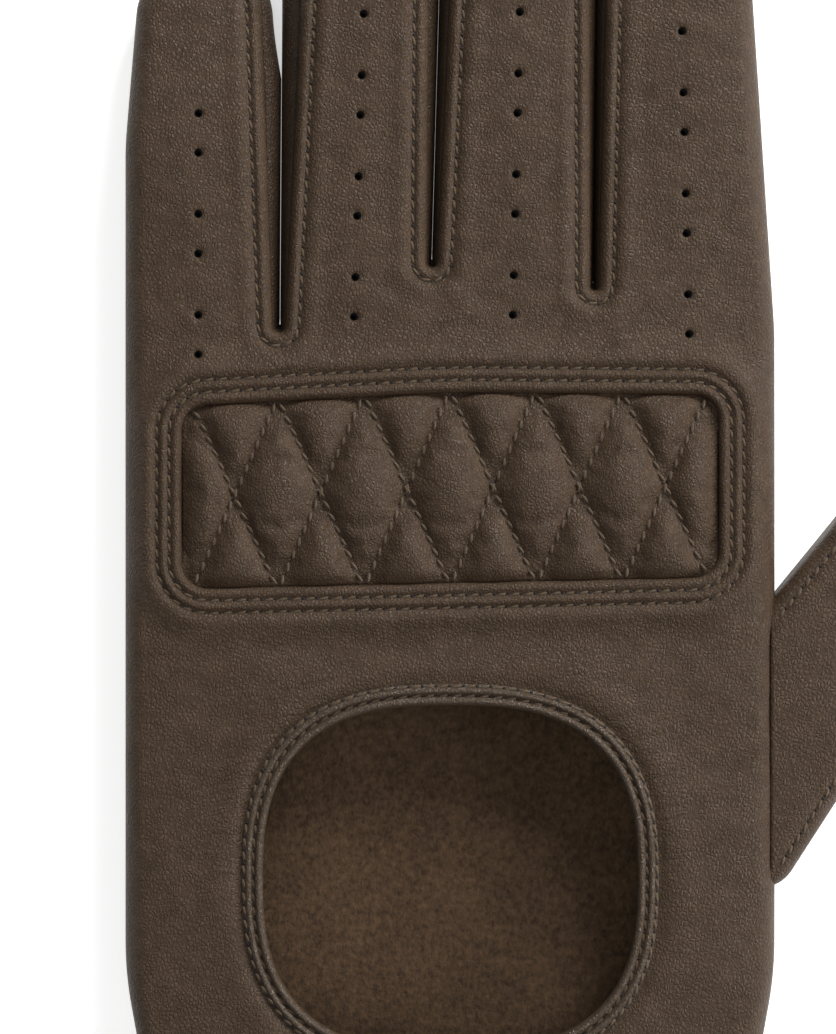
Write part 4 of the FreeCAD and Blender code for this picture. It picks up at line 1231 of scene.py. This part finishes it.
thumb_skin = as_piece(thumb, "thumb_leather", [thumb_leather.material, flesh_side.material],
                      thumb_nodes)
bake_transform(thumb_skin)


def from_gap(line):
    """A ring of points that was cut open, starting beside the cut."""
    first = int(np.argmax(np.linalg.norm(line - np.roll(line, 1, 0), axis=1)))
    return np.roll(line, -first, 0)


row = bmesh.new()
seam_line = moved_in(thumb_path, THUMB_SEAM)
sew(row, from_gap(seam_line[seam_line[:, 0] > hand_side + 1.2 * mm]), thumb_height)
thumb_row = as_piece(row, "thumb_stitches", sewing, ["thumb_base_thread", "thumb_tip_thread"])
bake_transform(thumb_row)


# ---- Wrist strap
# Two layers of leather, glued and stitched round the edge, close the neck of the opening. One end is sewn to
# the thumb side over a patch. The free end carries the socket of a press stud.

strap_low, strap_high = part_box("strap")
root_low, root_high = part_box("strap_sewn_end")
patch_low, patch_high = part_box("strap_patch")
STRAP_SEAM = 1.8 * mm
STRAP_EDGE = 0.55 * mm
STRAP_CELL = 0.5 * mm
HINGE_RADIUS = 0.95 * mm
strap_hinge = Vector(joints["strap_lift"]["pos_m"])
strap_half = (strap_high.y - strap_low.y) / 2
strap_leather = nappa("strap_nappa", LEATHER_BROWN, LEATHER_DARK, grain=0.5 * mm, crease=0.5)


def strap_height(path, top):
    """Height of a stitched strap's upper side: a rolled edge, a groove under the thread, a full middle."""
    def height(points):
        edge = nearest(np.asarray(points, float), path)[0]
        return (top - rolled(edge, STRAP_EDGE) - 0.16 * mm * bell(edge - STRAP_SEAM, 0.4 * mm)
                + 0.05 * mm * lumps(points, 4 * mm, 3.3) * smooth(edge, 0.6 * mm, 2 * mm))
    return height


def strap_layers(path, low, high):
    """A stitched double layer of leather inside a path, with a fine groove where the layers meet."""
    bm = bmesh.new()
    banded(bm, path, [(ring * mm, 0) for ring in (0, 0.12, 0.3, 0.55, 0.85, 1.15)], EDGE)
    filled_in(bm, (EDGE,), STRAP_CELL)
    face_up(bm)
    set_heights(bm, strap_height(path, high)(flat_points(bm)))
    middle = (low + high) / 2
    rim = open_edges(bm)
    for level, inset in ((0.35 * mm, 0), (0.12 * mm, 0), (0.0, 0.22 * mm)):
        grown = bmesh.ops.extrude_edge_only(bm, edges=rim)["geom"]
        rim = picked(grown, BMEdge)
        for vert in picked(grown, BMVert):
            vert.co.z = middle + level
            if inset:
                away = Vector((*path.mean(0), 0)) - vert.co
                vert.co += Vector((away.x, away.y, 0)).normalized() * inset
    under = bmesh.ops.duplicate(bm, geom=bm.verts[:] + bm.edges[:] + bm.faces[:])["geom"]
    bmesh.ops.scale(bm, vec=(1, 1, -1), verts=picked(under, BMVert),
                    space=Matrix.Translation((0, 0, -middle)))
    bmesh.ops.remove_doubles(bm, verts=bm.verts[:], dist=1e-6)
    bmesh.ops.recalc_face_normals(bm, faces=bm.faces[:])
    return bm


CORNER, STRAP_STEP = 1.25 * mm, 0.5 * mm


def strap_outline(low, high, end_round=CORNER):
    return rounded_path([(low.x, low.y, end_round), (low.x, high.y, end_round),
                         (high.x, high.y, CORNER), (high.x, low.y, CORNER)], STRAP_STEP)


strap_path = strap_outline(strap_low, strap_high, strap_half - TIP_FLAT)
sewn_path = strap_outline(root_low, root_high)
patch_path = strap_outline(patch_low, patch_high)
for name, path, low, high, node, body in (
        ("strap_leather", strap_path, strap_low.z, strap_high.z, "strap", "strap"),
        ("strap_end_leather", sewn_path, root_low.z, root_high.z, "strap_sewn_end", "hand"),
        ("strap_patch_leather", patch_path, patch_low.z, patch_high.z, "strap_patch", "hand")):
    bm = strap_layers(path, low, high)
    if node == "strap":
        for vert in bm.verts:
            past = vert.co.x - strap_hinge.x
            room = math.sqrt(max(HINGE_RADIUS ** 2 - past ** 2, 0)) if past > 0 else 1.0
            vert.co.z = strap_hinge.z + max(-room, min(vert.co.z - strap_hinge.z, room))
    layers = as_piece(bm, name, [strap_leather.material], [node])
    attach(layers, body)
for name, path, top, node, body in (
        ("strap_stitches", strap_path, strap_high.z, "strap_thread", "strap"),
        ("strap_end_stitches", sewn_path, root_high.z, "strap_sewn_thread", "hand")):
    row = bmesh.new()
    line = moved_in(path, STRAP_SEAM)
    if body == "strap":
        line = from_gap(line[line[:, 0] < strap_high.x - STRAP_SEAM - 0.3 * mm])
    else:
        line = np.concatenate((line, line[:1]))
    sew(row, line, strap_height(path, top), lift=0.08 * mm)
    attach(as_piece(row, name, sewing, [node]), body)


# ---- Press stud
# A turned brass cap and socket are riveted through the strap and snap on a stud in the wrist. The visible
# metal is plated antique brass with rubbed edges, and a steel ring spring in the socket grips the stud.

def plated(name, colour, dark, roughness):
    finish = Finish(name, Metallic=1.0)
    tarnish = finish.clouds(1.6 * mm, 4.0)
    scratches = finish.clouds(0.5 * mm, 3.0, finish.stretched(finish.at, (1.0, 0.12, 1.0), (0, 0, 0.6)))
    finish.set_shader(Base_Color=finish.between((tarnish * 1.4 - 0.2).capped(), dark, colour),
                      Roughness=roughness + (tarnish - 0.5) * 0.25 + (scratches - 0.5) * 0.12,
                      Normal=finish.bumped(scratches, 0.03 * mm, 0.3))
    return finish


brass = plated("antique_brass", rgb(0.36, 0.25, 0.12), rgb(0.14, 0.09, 0.045), 0.34)
steel = plated("spring_steel", rgb(0.5, 0.5, 0.52), rgb(0.3, 0.3, 0.31), 0.28)
for node, metal in (("snap_cap", brass), ("snap_socket", brass), ("stud_post", brass),
                    ("stud_rivet", brass), ("snap_spring", steel)):
    metal_part = frame["nodes"][node]
    metal_part.data.materials.clear()
    metal_part.data.materials.append(metal.material)
